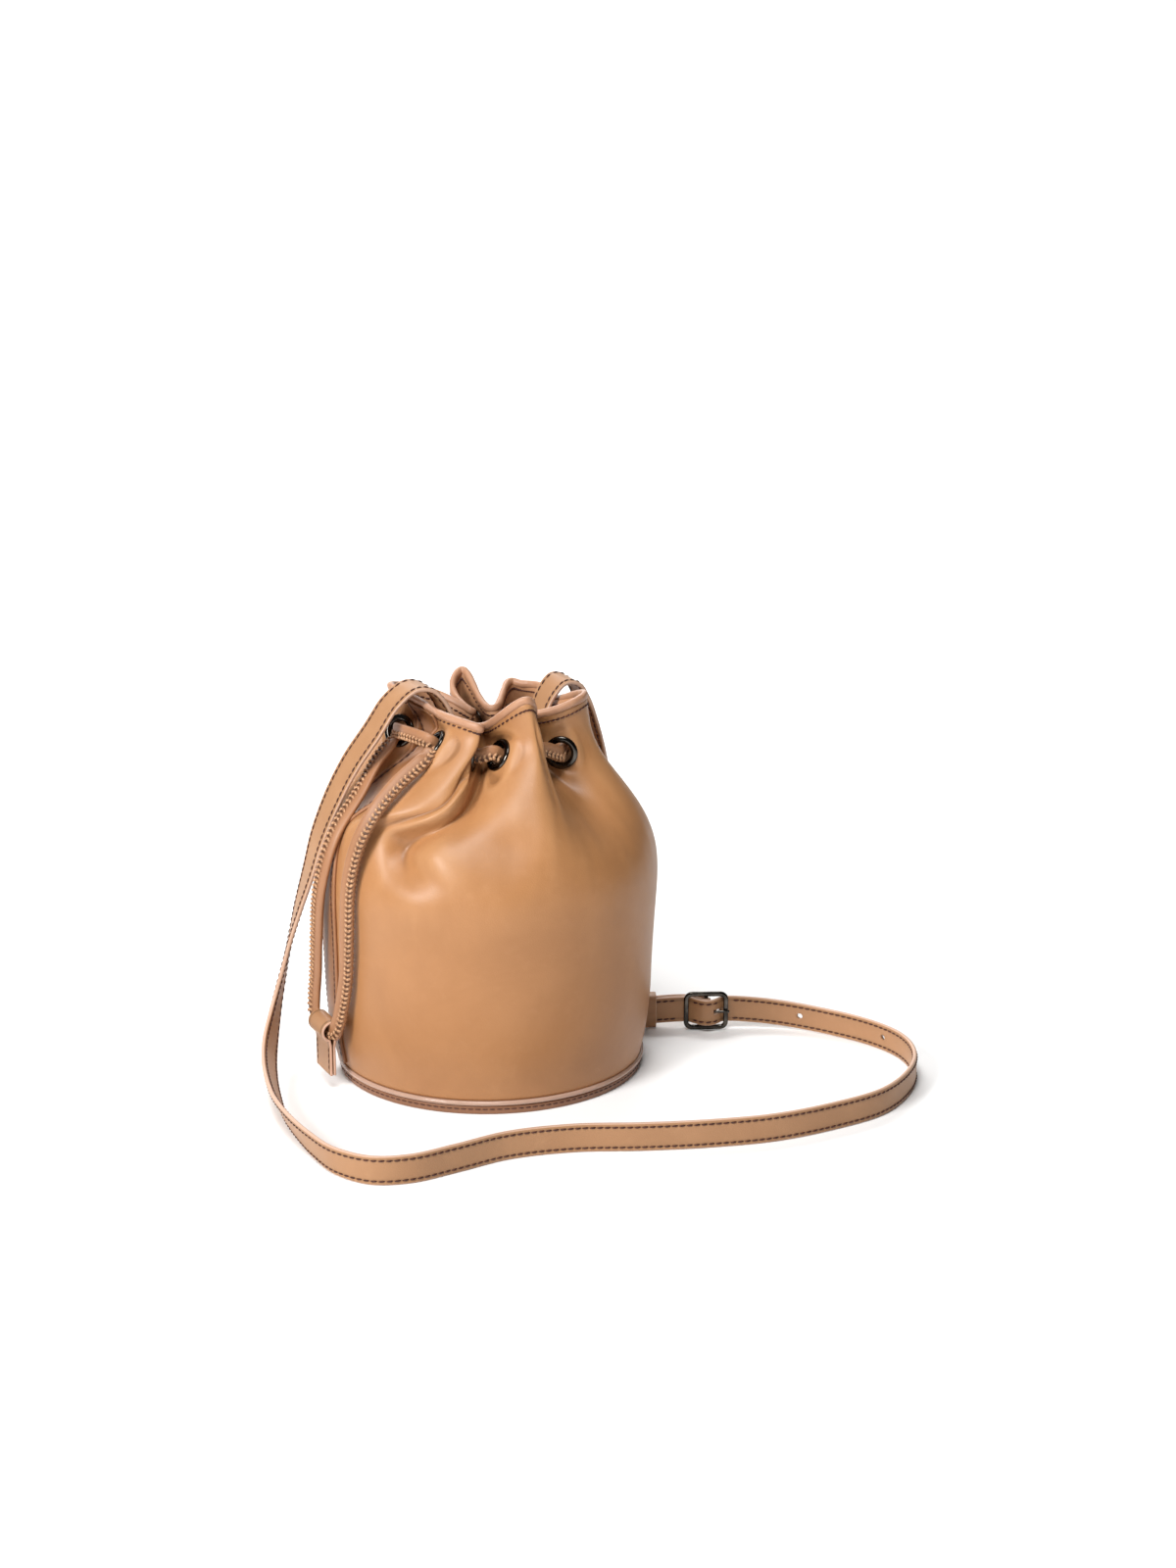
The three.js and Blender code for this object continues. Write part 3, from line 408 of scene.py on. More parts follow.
# ---------------------------------------------------------------- sweeps
def curve_points(route, samples, closed=False):
    """Centripetal Catmull-Rom curve through the route's points, samples to a span, by the
    cubic that matches the slope of a parabola through each three neighbours."""
    route = np.asarray(route, float)
    if closed:
        padded = np.concatenate([route[-1:], route, route[:2]])
    else:
        padded = np.concatenate([2 * route[:1] - route[1:2], route, 2 * route[-1:] - route[-2:-1]])
    before, here, after, beyond = padded[:-3], padded[1:-2], padded[2:-1], padded[3:]
    gaps = [np.linalg.norm(b - a, axis=1, keepdims=True) ** 0.5
            for a, b in ((before, here), (here, after), (after, beyond))]
    first, middle, last = gaps
    along = (after - here) / middle
    slope_in = ((here - before) / first - (after - before) / (first + middle) + along) * middle
    slope_out = (along - (beyond - here) / (middle + last) + (beyond - after) / last) * middle
    t = (np.arange(samples) / samples)[None, :, None]
    ends = (side[:, None] for side in (here, slope_in, after, slope_out))
    points = cubic(t, *ends).reshape(-1, 3)
    return points if closed else np.concatenate([points, route[-1:]])


def even_points(points, step, closed=False, *carried):
    """The same path at even steps, with anything carried along it."""
    loop = np.concatenate([points, points[:1]]) if closed else points
    lengths = np.concatenate([[0], np.cumsum(np.linalg.norm(np.diff(loop, axis=0), axis=1))])
    count = max(4, int(round(lengths[-1] / step)))
    wanted = np.linspace(0, lengths[-1], count + 1)[: count if closed else None]
    results = []
    for values in (loop, *[np.concatenate([c, c[:1]]) if closed else c for c in carried]):
        values = np.asarray(values, float).reshape(len(loop), -1)
        results.append(np.stack([np.interp(wanted, lengths, column) for column in values.T], 1))
    return (*results, lengths[-1])


def tangents_of(points, closed=False):
    """The way the path runs at each point, by the difference of its two neighbours."""
    if closed:
        return unit(np.roll(points, -1, 0) - np.roll(points, 1, 0))
    return unit(np.gradient(points, axis=0))


def area_of(section):
    """Twice the area inside a closed section, positive when it runs anticlockwise."""
    x, y = section.T
    return x @ np.roll(y, -1) - y @ np.roll(x, -1)


def tube_piece(name, grid, closed, flipped, values):
    """The piece with a row of the grid for each station, its faces turned over when flipped."""
    faces = tube_faces(*grid.shape[:2], closed)
    if flipped:
        faces = [group[:, ::-1] for group in faces]
    values = {key: np.broadcast_to(numbers, grid.shape[:2]) for key, numbers in values.items()}
    return mesh_piece(name, grid, faces, **values)


def sweep(name, points, across, section, closed=False, scale=None, **values):
    """A section of [width, thickness] points carried along a path, its width along across and its
    thickness square to that and to the path; scale is one number, or one a point, for thickness."""
    tangents = tangents_of(points, closed)
    across = square_to(across, tangents)
    normals = np.cross(across, tangents)
    scale = np.ones(len(points)) if scale is None else np.ravel(scale)
    grid = (points[:, None] + across[:, None] * section[None, :, :1]
            + normals[:, None] * section[None, :, 1:] * scale[:, None, None])
    return tube_piece(name, grid, closed, area_of(section) > 0, values)


def oval(width, thickness, sides=20, power=1.0):
    """A closed oval section; a power under 1 squares its shoulders."""
    circle = around_circle(np.arange(sides) / sides * 2 * math.pi)
    return np.sign(circle) * np.abs(circle) ** power * [width / 2, thickness / 2]


def band_section(width, thickness, groove=0.0, groove_in=2.3 * MM, samples=19):
    """A flat band with round edges, a raised rolled lip along each and a pressed groove where it is
    stitched: its half thickness runs across as a flat, less a bell at the groove, and falls to
    the edge as a quarter circle."""
    x = np.sin(np.linspace(-1, 1, samples) * math.pi / 2) * width / 2
    round_in = thickness * 0.45
    to_edge = width / 2 - np.abs(x)
    fall = quarter_circle(to_edge / round_in)
    half = thickness / 2 * (0.22 + 0.78 * fall) - groove * bell((to_edge - groove_in) / (0.7 * MM))
    top = np.stack([x, half], 1)
    return np.concatenate([top, np.stack([x, -half], 1)[::-1]])


def lathe(name, profile, sides, centre=(0, 0, 0), axis=(0, 0, 1), **values):
    """A closed profile of [radius, height] points turned about an axis through centre."""
    profile = np.asarray(profile, float)
    axis = unit(np.array(axis, float))
    side = unit(np.cross(axis, [0.31, 0.95, 0.05] if abs(axis[1]) < 0.9 else [1, 0.1, 0.05]))
    other = np.cross(axis, side)
    angle = np.arange(sides) / sides * 2 * math.pi
    spokes = np.cos(angle)[:, None] * side + np.sin(angle)[:, None] * other
    grid = np.array(centre) + spokes[:, None] * profile[None, :, :1] + axis * profile[None, :, 1:]
    return tube_piece(name, grid, True, area_of(profile) < 0, values)


# Each kind of stitch: its length, its width, how far its middle stands proud, and its lean.
STRIP_STITCH = (3.1 * MM, 0.95 * MM, 0.26 * MM, 0.12)
RIM_STITCH = (2.7 * MM, 1.05 * MM, 0.3 * MM, 0.15)
BASE_STITCH = (3.2 * MM, 0.7 * MM, 0.2 * MM, 0)
TAB_STITCH = (2.8 * MM, 0.7 * MM, 0.2 * MM, 0)
STRAP_STITCH = (3.2 * MM, 1.0 * MM, 0.3 * MM, 0.1)
CORD_LOOP = (2.9 * MM, 1.75 * MM, 0.7 * MM, 0)


def stitches(name, centres, along, outward, size):
    """Short arched threads, one at each centre: a capsule whose middle stands proud and whose
    ends dip in, six sides by five stations, leaning to its side."""
    length, width, height, lean = size
    stations = np.linspace(-1, 1, 5)
    radius = np.sqrt(np.clip(1 - np.abs(stations) ** 3 * 0.8, 0, 1))
    angle = np.arange(6) / 6 * 2 * math.pi
    side = np.cross(outward, along)
    direction = unit(along + side * lean)
    side = np.cross(outward, direction)
    spine = (centres[:, None] + direction[:, None] * (stations * length / 2)[None, :, None]
             + outward[:, None] * ((1 - stations**2) * height)[None, :, None])
    ring = (side[:, None, None] * np.cos(angle)[None, None, :, None] * width / 2
            + outward[:, None, None] * np.sin(angle)[None, None, :, None] * width / 2 * 0.8)
    grid = spine[:, :, None] + ring * radius[None, :, None, None]
    one = tube_faces(5, 6, False)
    shift = (np.arange(len(centres)) * 30)[:, None, None]
    faces = [(group[None, :, ::-1] + shift).reshape(-1, group.shape[1]) for group in one]
    return mesh_piece(name, grid, faces)


# ---------------------------------------------------------------- materials
class Val:
    """A shader socket that takes part in sums and products."""

    def __init__(self, maker, socket):
        self.maker, self.socket = maker, socket

    def maths(self, operation, *others):
        return self.maker.node("ShaderNodeMath", {"operation": operation}, [self, *others])

    def __add__(self, other):
        return self.maths("ADD", other)

    def __mul__(self, other):
        return self.maths("MULTIPLY", other)

    def clamp(self):
        return self.maker.node("ShaderNodeClamp", {}, [self])

    def above(self, low, high):
        """0 up to low, 1 from high, smooth between them."""
        return self.maker.node("ShaderNodeMapRange", {"interpolation_type": "SMOOTHSTEP"},
                               {"Value": self, "From Min": low, "From Max": high})


class Finish:
    """A material made of nodes, with its shader and its place on the piece."""

    def __init__(self, name, roughness=0.5, metallic=0.0, specular=0.5):
        self.material = bpy.data.materials.new(name)
        self.material.use_nodes = True
        self.tree = self.material.node_tree
        self.shader = self.tree.nodes["Principled BSDF"]
        self.shader.inputs["Roughness"].default_value = roughness
        self.shader.inputs["Metallic"].default_value = metallic
        self.shader.inputs["Specular IOR Level"].default_value = specular
        self.place = self.node("ShaderNodeTexCoord", {}, {}, "Object")

    def node(self, kind, settings, inputs, output=0):
        """Adds a node, sets its settings and then its inputs, and returns one output."""
        made = self.tree.nodes.new(kind)
        for key, value in settings.items():
            setattr(made, key, value)
        pairs = inputs.items() if isinstance(inputs, dict) else enumerate(inputs)
        for key, value in pairs:
            self.set(made.inputs[key], value)
        return Val(self, made.outputs[output])

    def set(self, socket, value):
        """Links a socket to the input, or gives it a colour or a plain value."""
        if isinstance(value, Val):
            self.tree.links.new(value.socket, socket)
        elif isinstance(value, tuple):
            socket.default_value = (*value, 1)
        else:
            socket.default_value = value

    def noise(self, scale, detail=2.0, rough=0.5, warp=0.0):
        return self.node("ShaderNodeTexNoise", {}, {
            "Vector": self.place, "Scale": scale, "Detail": detail, "Roughness": rough, "Distortion": warp})

    def cells(self, scale, feature="F1"):
        inputs = {"Vector": self.place, "Scale": scale}
        return self.node("ShaderNodeTexVoronoi", {"feature": feature}, inputs)

    def value(self, name):
        """A number kept on the piece's points."""
        return self.node("ShaderNodeAttribute", {"attribute_name": name}, {}, "Fac")

    def mix(self, share, first, second):
        """The first colour, with a share of the second."""
        return self.node("ShaderNodeMix", {"data_type": "RGBA"}, {0: share, 6: first, 7: second}, 2)

    def colour(self, value):
        self.set(self.shader.inputs["Base Color"], value)

    def roughness(self, value):
        self.set(self.shader.inputs["Roughness"], value)

    def bump(self, height, distance, strength=1.0):
        settings = {"Height": height, "Distance": distance, "Strength": strength}
        self.set(self.shader.inputs["Normal"], self.node("ShaderNodeBump", {}, settings, "Normal"))


def rgb(code):
    """Linear colour from a six digit code."""
    parts = [int(code[k:k + 2], 16) / 255 for k in (0, 2, 4)]
    return tuple(c / 12.92 if c <= 0.04045 else ((c + 0.055) / 1.055) ** 2.4 for c in parts)


def leather_finish(name, pale, main, deep, rough=0.42, grain=1.0, painted_bend_light=False, edge=None):
    """Smooth waxed leather: clouds of deeper and paler tan, fine pores and hair grain, and where the
    piece says so a painted highlight on ridges, painted shade in creases and along stitched grooves
    and under lacing, and an edge-paint colour on the cut edge."""
    pale, main, deep = rgb(pale), rgb(main), rgb(deep)
    made = Finish(name, rough, specular=0.42)
    clouds = made.noise(16, 4, 0.62, warp=0.6)
    mottle = made.noise(95, 5, 0.66)
    colour = made.mix(clouds.above(0.3, 0.7) * 0.3, main, deep)
    colour = made.mix(mottle.above(0.5, 0.8) * 0.14, colour, pale)
    specks = made.noise(900, 2, 0.7).above(0.63, 0.78)
    colour = made.mix(specks * 0.12, colour, deep)
    if painted_bend_light:
        # Painted highlight where the face bows out, and painted shade down to half the deep tone where it
        # bows in
        colour = made.mix(made.value("bow").above(0.2, 1.6) * 0.3, colour, pale)
        painted_crease_shade = (made.value("bow") * -1).above(0.3, 1.8)
        colour = made.mix(painted_crease_shade * 0.45, colour, tuple(0.5 * c for c in deep))
    pores = made.cells(1500)
    creases = made.noise(260, 3, 0.55, warp=0.8)
    if edge:
        colour = made.mix(made.value("edge").above(0.3, 0.75), colour, rgb(edge))
        # Painted shade: darker, down to a fifth of the deep tone, where the seam value marks a stitched
        # groove or the band under the lacing
        colour = made.mix(made.value("seam") * 0.8, colour, tuple(0.22 * c for c in deep))
    made.colour(colour)
    made.roughness((mottle * 0.14 + (rough - 0.07)).clamp())
    made.bump(pores * 0.5 + creases * 0.6 + mottle * 0.3, 0.0002 * grain, 0.4)
    return made.material


# The bag and its facing carry the painted highlight on ridges and the painted shade in creases
bag_leather = leather_finish("bag_leather", "c49468", "ad7a4e", "8f5f38", painted_bend_light=True)
facing_leather = leather_finish("facing_leather", "d0a27c", "be8c67", "9f6e4b", 0.5, painted_bend_light=True)
# The side strips' tone is set darker than the bag leather as painted shade for the shadowed, receding sides
strip_leather_painted_darker = leather_finish("strip_leather_painted_darker", "aa7a4e", "8e5f3a", "704729", 0.45, edge="9a6a48")
strap_leather = leather_finish("strap_leather", "c49a72", "ab7f5a", "8c6240", 0.45, 1.1, edge="c4a088")
cord_leather = leather_finish("cord_leather", "c08e68", "a67652", "7c4f36", 0.46, 0.9, edge="bc8c68")
tab_leather = leather_finish("tab_leather", "c4966e", "a97d58", "86603f", 0.48, edge="c8a088")
binding_leather = leather_finish("binding_leather", "cba084", "b6886a", "966a4c", 0.4, 0.8)
# The piping's pale colour is partly its own paler leather and partly a painted highlight along the round
# tube
piping_leather_with_painted_highlight = leather_finish("piping_leather_with_painted_highlight", "d0b4a0", "b49482", "8a6c58", 0.2, 0.3)
# The base band's tone is set darker than the body leather as painted shade low on the bag
base_leather_with_painted_shade = leather_finish("base_leather_with_painted_shade", "a3775a", "875d42", "66432e", 0.45, 0.8)


def thread_finish(name, pale, deep):
    """Waxed thread: two strands' twist across it and a soft sheen."""
    made = Finish(name, 0.5, specular=0.4)
    twist = made.noise(1400, 2, 0.5)
    made.colour(made.mix(twist.above(0.35, 0.65), rgb(deep), rgb(pale)))
    made.bump(twist, 0.0002, 0.6)
    return made.material


brown_thread = thread_finish("brown_thread", "552a1c", "2e140c")
laced_thong = thread_finish("laced_thong", "d0a47c", "946646")


def metal_finish():
    """Polished dark nickel with faint brushing and paler smears."""
    made = Finish("dark_nickel", 0.2, 1.0)
    smears = made.noise(140, 4, 0.6)
    made.colour(made.mix(smears.above(0.35, 0.75), rgb("3a3734"), rgb("625d57")))
    made.roughness(smears * 0.16 + 0.07)
    made.bump(made.noise(700, 2, 0.5), 0.00006, 0.4)
    return made.material


def cloth_finish():
    """Plain woven cotton: two crossed sets of fine ribs."""
    made = Finish("lining_cloth", 0.9, specular=0.2)
    weave = made.cells(1300, "SMOOTH_F1")
    made.colour(made.mix(weave.above(0.2, 0.7), rgb("a08a6c"), rgb("6f5b44")))
    made.bump(weave, 0.0003, 0.6)
    return made.material


def board_finish():
    """Pressed grey-brown board with short fibres."""
    made = Finish("base_board", 0.9, specular=0.2)
    fibres = made.noise(420, 4, 0.7, warp=1.2)
    made.colour(made.mix(fibres.above(0.35, 0.7), rgb("7b6a54"), rgb("a08f76")))
    made.bump(fibres, 0.0002, 0.5)
    return made.material


dark_nickel = metal_finish()
lining_cloth = cloth_finish()
board_stock = board_finish()


# ---------------------------------------------------------------- shell of the bag
ROUND_STEP = 0.05
UP_STEPS = 150
GAP_COLUMNS = 0.15 * MM / COLUMN_ARC
FACING_DEPTH = LEATHER + 0.1 * MM
LINING_DEPTH, LINING_BACK = LEATHER + 1.15 * MM, LEATHER + 1.6 * MM


def add_leather(name, node, material, layer, sharpness, plain_ends=0):
    """A leather layer with its bow kept for the material's painted highlight on ridges and painted
    shade in creases: 1 where it bends by sharpness, and 0 in the columns at its plain ends."""
    points, faces, face, normals = layer
    bow = np.clip(bend_of(face, normals) / sharpness, -2, 2)
    bow[:, :plain_ends] = 0
    bow[:, bow.shape[1] - plain_ends:] = 0
    points, faces, values = drop_loose(points, faces, {"bow": np.tile(bow.ravel(), 2)})
    place(mesh_piece(name, points, faces, **values), "bag", "bag_leather", material, node)


def add_panel(name, node, start):
    """Half the leather tube, from one side seam to the other, with eyelet holes."""
    half = COLUMNS / 2
    u = np.linspace(start + GAP_COLUMNS, start + half - GAP_COLUMNS, int(half / ROUND_STEP) + 1)
    layer = leather_layer(u, np.linspace(0, TOP, UP_STEPS), 0, LEATHER, HOLE_RADIUS)
    add_leather(name, node, bag_leather, layer, 0.55 * MM, 5)


add_panel("front_leather", "front_panel", 12.0)
add_panel("back_leather", "back_panel", 0.0)


def add_inner_layers():
    """The leather facing of the mouth, with eyelet holes, and the cloth lining under it."""
    layer = leather_layer(np.arange(0, COLUMNS, 0.075), np.linspace(152 * MM, TOP, 48),
                          FACING_DEPTH, FACING_DEPTH + FACING, HOLE_RADIUS)
    add_leather("mouth_facing_leather", "mouth_facing", facing_leather, layer, -0.7 * MM)
    points, faces, _, _ = leather_layer(np.arange(0, COLUMNS, 0.1), np.linspace(2 * MM, 155 * MM, 80),
                                        LINING_DEPTH, LINING_BACK)
    cloth = mesh_piece("lining_cloth_wall", points, faces)
    place(cloth, "bag", "lining_cloth", lining_cloth, "lining")


add_inner_layers()


def on_leather(u, v, depth):
    """Places on a grid of the leather at a depth, with the ways round, up and out there, each as a
    flat list."""
    u, v = np.atleast_1d(u).astype(float), np.atleast_1d(v).astype(float)
    around = unit(leather_face(u + 0.02, v) - leather_face(u - 0.02, v))
    upward = unit(leather_face(u, v + 0.5 * MM) - leather_face(u, v - 0.5 * MM))
    outward = unit(np.cross(around, upward))
    places = leather_face(u, v) - outward * depth
    return [grid.reshape(-1, 3) for grid in (places, around, upward, outward)]


STRIP_ROW_INSET = 2.6 * MM


def add_strip(side, node, seam):
    """A raised strip down a side seam: full thickness in its middle, falling at its cut edges as a
    quarter circle, with a pressed groove where a row of stitches runs near each edge."""
    half = STRIP_WIDTH / 2 / COLUMN_ARC
    x = np.linspace(-1, 1, 57)
    v = np.linspace(3 * MM, TOP, UP_STEPS)
    to_edge = (1 - np.abs(x)) * STRIP_WIDTH / 2
    groove = 0.25 * MM * bell((to_edge - STRIP_ROW_INSET) / (0.5 * MM))
    height = STRIP_THICKNESS * (0.45 + 0.55 * quarter_circle(to_edge / (1.1 * MM))) - groove
    points, faces, _, _ = leather_layer(seam + x * half, v, -(STRIP_GAP + height)[None], -0.02 * MM)
    edge = np.tile(1 - np.clip(to_edge / (1.3 * MM), 0, 1), 2 * UP_STEPS)
    # Painted shade along the pressed stitch groove near each edge, passed on as the seam value
    dark = np.tile(bell((to_edge - STRIP_ROW_INSET) / (0.6 * MM)), 2 * UP_STEPS)
    piece = mesh_piece(f"side_strip_{side}_leather", points, faces, edge=edge, seam=dark)
    place(piece, "bag", "bag_leather", strip_leather_painted_darker, node)
    rows = np.arange(8 * MM, TOP - 4 * MM, 3.6 * MM)
    inset = half - STRIP_ROW_INSET / COLUMN_ARC
    edges = np.array([seam - inset, seam + inset])
    depth = -(STRIP_GAP + STRIP_THICKNESS - 0.32 * MM)
    centres, _, upward, outward = on_leather(edges, rows, depth)
    thread = stitches(f"side_strip_{side}_stitches", centres, upward, outward, STRIP_STITCH)
    place(thread, "bag", "bag_leather", brown_thread)


add_strip("left", "side_strip_left", 12.0)
add_strip("right", "side_strip_right", 0.0)


def add_rim():
    """A soft rounded binding folded over the top edge, and the row of stitches just below it."""
    u = np.arange(0, COLUMNS, 0.06)
    top = np.array([TOP])
    normals = face_normals(leather_face, u, top)[0]
    centre = leather_face(u, top)[0] - normals * (LEATHER + FACING) / 2
    tangents = tangents_of(centre, True)
    normals = square_to(normals, tangents)
    upward = np.cross(normals, tangents)
    upward *= np.sign((upward[:, 2]).sum())
    swell = 1 + 0.07 * np.sin(u * 7.3) + 0.05 * np.sin(u * 17.1 + 1)
    section = oval(4.6 * MM, 3.9 * MM, 18, 0.85)
    rim = sweep("rim_binding_leather", centre + upward * 1.1 * MM, upward, section, True, swell)
    place(rim, "bag", "edge_leather", binding_leather, "rim_binding")
    stitch_u = np.arange(0, COLUMNS, 3.2 * MM / COLUMN_ARC)
    for name, depth, facing in (("rim_stitches", 0, 1), ("rim_stitches_inside", FACING_DEPTH + FACING, -1)):
        centres, around, _, outward = on_leather(stitch_u, TOP - 3.4 * MM, depth)
        thread = stitches(name, centres, around, outward * facing, RIM_STITCH)
        place(thread, "bag", "edge_leather", brown_thread)


add_rim()


# ---------------------------------------------------------------- base
def rounded_profile(corners, radius, samples=5):
    """A closed profile with each corner replaced by a quadratic curve that starts and ends radius
    away from it along its two sides."""
    corners = np.asarray(corners, float)
    before, after = np.roll(corners, 1, 0), np.roll(corners, -1, 0)
    into, out = (unit(way) * np.minimum(radius, np.linalg.norm(way, axis=1, keepdims=True) * 0.45)
                 for way in (before - corners, after - corners))
    t = np.linspace(0, 1, samples)[None, :, None]
    return ((1 - t) ** 2 * (corners + into)[:, None] + 2 * t * (1 - t) * corners[:, None]
            + t**2 * (corners + out)[:, None]).reshape(-1, 2)


def add_base():
    """The turned-up base: a shallow dish with a rounded lower edge and a narrow turned band, a
    glossy piping between it and the body, and stitches along the band."""
    r = BASE_RADIUS
    middle, floor = 0.4 * MM, 1.6 * MM
    dish = rounded_profile([
        [middle, 0], [r, 0], [r + 0.6 * MM, BASE_EDGE_HEIGHT], [r - LEATHER, BASE_EDGE_HEIGHT],
        [r - LEATHER, floor], [middle, floor],
    ], 0.9 * MM)
    place(lathe("base_dish", dish, 160), "bag", "bag_leather", base_leather_with_painted_shade, "base_panel")
    piping = np.array([r + 0.2 * MM, 6.6 * MM]) + oval(2.9 * MM, 2.7 * MM, 14)
    place(lathe("base_piping_leather", piping, 200), "bag", "edge_leather", piping_leather_with_painted_highlight, "base_piping")
    turns = np.arange(0, 2 * math.pi, 4 * MM / r)
    out = np.column_stack([around_circle(turns), np.zeros_like(turns)])
    along = np.cross(UPRIGHT, out)
    centres = out * (r + 0.35 * MM) + np.array([0, 0, 3.2 * MM])
    thread = stitches("base_stitches", centres, along, out, BASE_STITCH)
    place(thread, "bag", "bag_leather", brown_thread)


add_base()
for node, finish in (("base_board", board_stock), ("lining_base", lining_cloth)):
    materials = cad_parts[node].data.materials
    materials.clear()
    materials.append(finish)


# ---------------------------------------------------------------- eyelets
def add_eyelets():
    """Each eyelet is a rolled ring with a barrel: a half-round flange that dips into the hole, and
    a flat washer with a curled inner lip behind."""
    inner, outer = EYELET_HOLE / 2, EYELET_OUTER / 2
    back = LEATHER + FACING + 0.2 * MM
    t = np.linspace(0, math.pi, 13)
    middle, reach = (inner + outer) / 2, (outer - inner) / 2
    crown = np.stack([middle + reach * np.cos(t), 0.15 * MM + 1.45 * MM * np.sin(t) ** 0.75], 1)
    wall, foot, seat = inner + 0.5 * MM, -back - 0.7 * MM, 0.05 * MM
    barrel = np.array([[inner, foot], [wall, foot], [wall, seat], [outer, seat]])
    lip = inner + 0.6 * MM
    washer = rounded_profile([[lip, -back], [lip, -back - 0.9 * MM], [outer, -back - 0.5 * MM],
                              [outer, -back]], 0.25 * MM, 4)
    for k, (centre, normal) in enumerate(zip(eyelet_centres, eyelet_normals)):
        number = f"{k + 1:02d}"
        ring = lathe(f"eyelet_ring_{number}", np.concatenate([crown, barrel]), 40, centre, normal)
        place(ring, "bag", "dark_nickel", dark_nickel, f"eyelet_{number}")
        backing = lathe(f"eyelet_backing_{number}", washer, 36, centre, normal)
        place(backing, "bag", "dark_nickel", dark_nickel, f"eyelet_washer_{number}")


add_eyelets()


# ---------------------------------------------------------------- laced cord
def laced_cord(name, points, across, closed, flip, width, thickness=3.4 * MM):
    """A flat cord in two parts: a smooth rounded band along one edge, and a row of thong loops that
    whip over the other edge. Returns the band and the loops."""
    tangents = tangents_of(points, closed)
    across = square_to(across, tangents) * flip
    normals = np.cross(across, tangents)
    section = oval(width, thickness, 28, 0.7)
    x = section[:, 0]
    # Painted shade on the band under the thong loops, passed on as the seam value
    laced = smooth_step((0.4 * MM - x) / (1.2 * MM)) * smooth_step((x + width * 0.46) / (0.8 * MM))
    band = sweep(f"{name}_band", points, across, section, closed, seam=laced[None], edge=np.zeros((1, 28)))
    where, sideways, outward, _ = even_points(points, 3.0 * MM, closed, across, normals)
    sideways, outward = unit(sideways), unit(outward)
    forward = tangents_of(where, closed)
    rows = [(row, face) for row in (0.1, 0.34) for face in (1, -1)]
    lift = thickness / 2 - 0.4 * MM
    centres = np.concatenate([where - sideways * width * row + outward * face * lift for row, face in rows])
    out = np.concatenate([outward * face for _, face in rows])
    slants = [0.75 if row < 0.2 else -0.75 for row, _ in rows]
    along = np.concatenate([unit(sideways + forward * slant) for slant in slants])
    loops = stitches(f"{name}_lacing", centres, along, out, CORD_LOOP)
    return band, loops


def add_drawstring():
    """The gathering cord: it runs straight through each eyelet, outside the valleys and inside
    the peaks, and closes on itself."""
    ahead = np.where(np.arange(12) % 2 == 0, -4 * MM, 4 * MM)[:, None] * eyelet_normals
    route = np.stack([eyelet_centres - ahead, eyelet_centres + ahead], 1).reshape(-1, 3)
    points, _ = even_points(curve_points(route, 12, True), 1.4 * MM, True)
    upward = np.tile(UPRIGHT, (len(points), 1))
    band, loops = laced_cord("drawstring", points, upward, True, 1, 8.4 * MM)
    place(band, "bag", "laced_leather", cord_leather, "drawstring")
    place(loops, "bag", "laced_leather", laced_thong)


add_drawstring()

PULL_CORD_ROUTE = np.array([
    [-51.5, 3.6, 197], [-56, 0, 193.5], [-64, -4, 186], [-76, -13, 170.5], [-92.5, -21, 149],
    [-101.5, -22.5, 121],
    [-102.6, -12, 89], [-102.4, -4, 64], [-103, 0.8, 47], [-103.2, 0.9, 39.4], [-102.5, -2.6, 35.6],
    [-101, -9.6, 35], [-99.8, -16, 35], [-98.6, -22.4, 35], [-97.1, -29.4, 35.6], [-96, -32.9, 39.4],
    [-94.2, -35.2, 48], [-91.5, -40, 69], [-91, -45.5, 99], [-89.8, -48.5, 128], [-84.5, -51, 151],
    [-74, -51.5, 170], [-61.5, -48.5, 183], [-50, -44.5, 191], [-44.5, -42, 194.5], [-39.5, -36.5, 197.5],
]) * MM


def add_pull_cord():
    """The loop that hangs from the two eyelets beside the left seam, flat against the bag."""
    points, length = even_points(curve_points(PULL_CORD_ROUTE, 16), 1.3 * MM)
    facing = unit(unit(points * [1, 1, 0]) + np.array([-0.35, -0.75, 0]))
    across = np.cross(tangents_of(points), facing)
    band, loops = laced_cord("pull_cord", points, across, False, -1, 8.9 * MM)
    place(band, "pull_loop", "laced_leather", cord_leather, "pull_cord")
    place(loops, "pull_loop", "laced_leather", laced_thong)
    for piece in (band, loops):
        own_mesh(piece)
    return band, loops, points, length


pull_band, pull_loops, pull_points, pull_length = add_pull_cord()


TAB_WIDTH = 24 * MM
TAB_THICKNESS = 1.5 * MM
TAB_ROW = 9.6 * MM


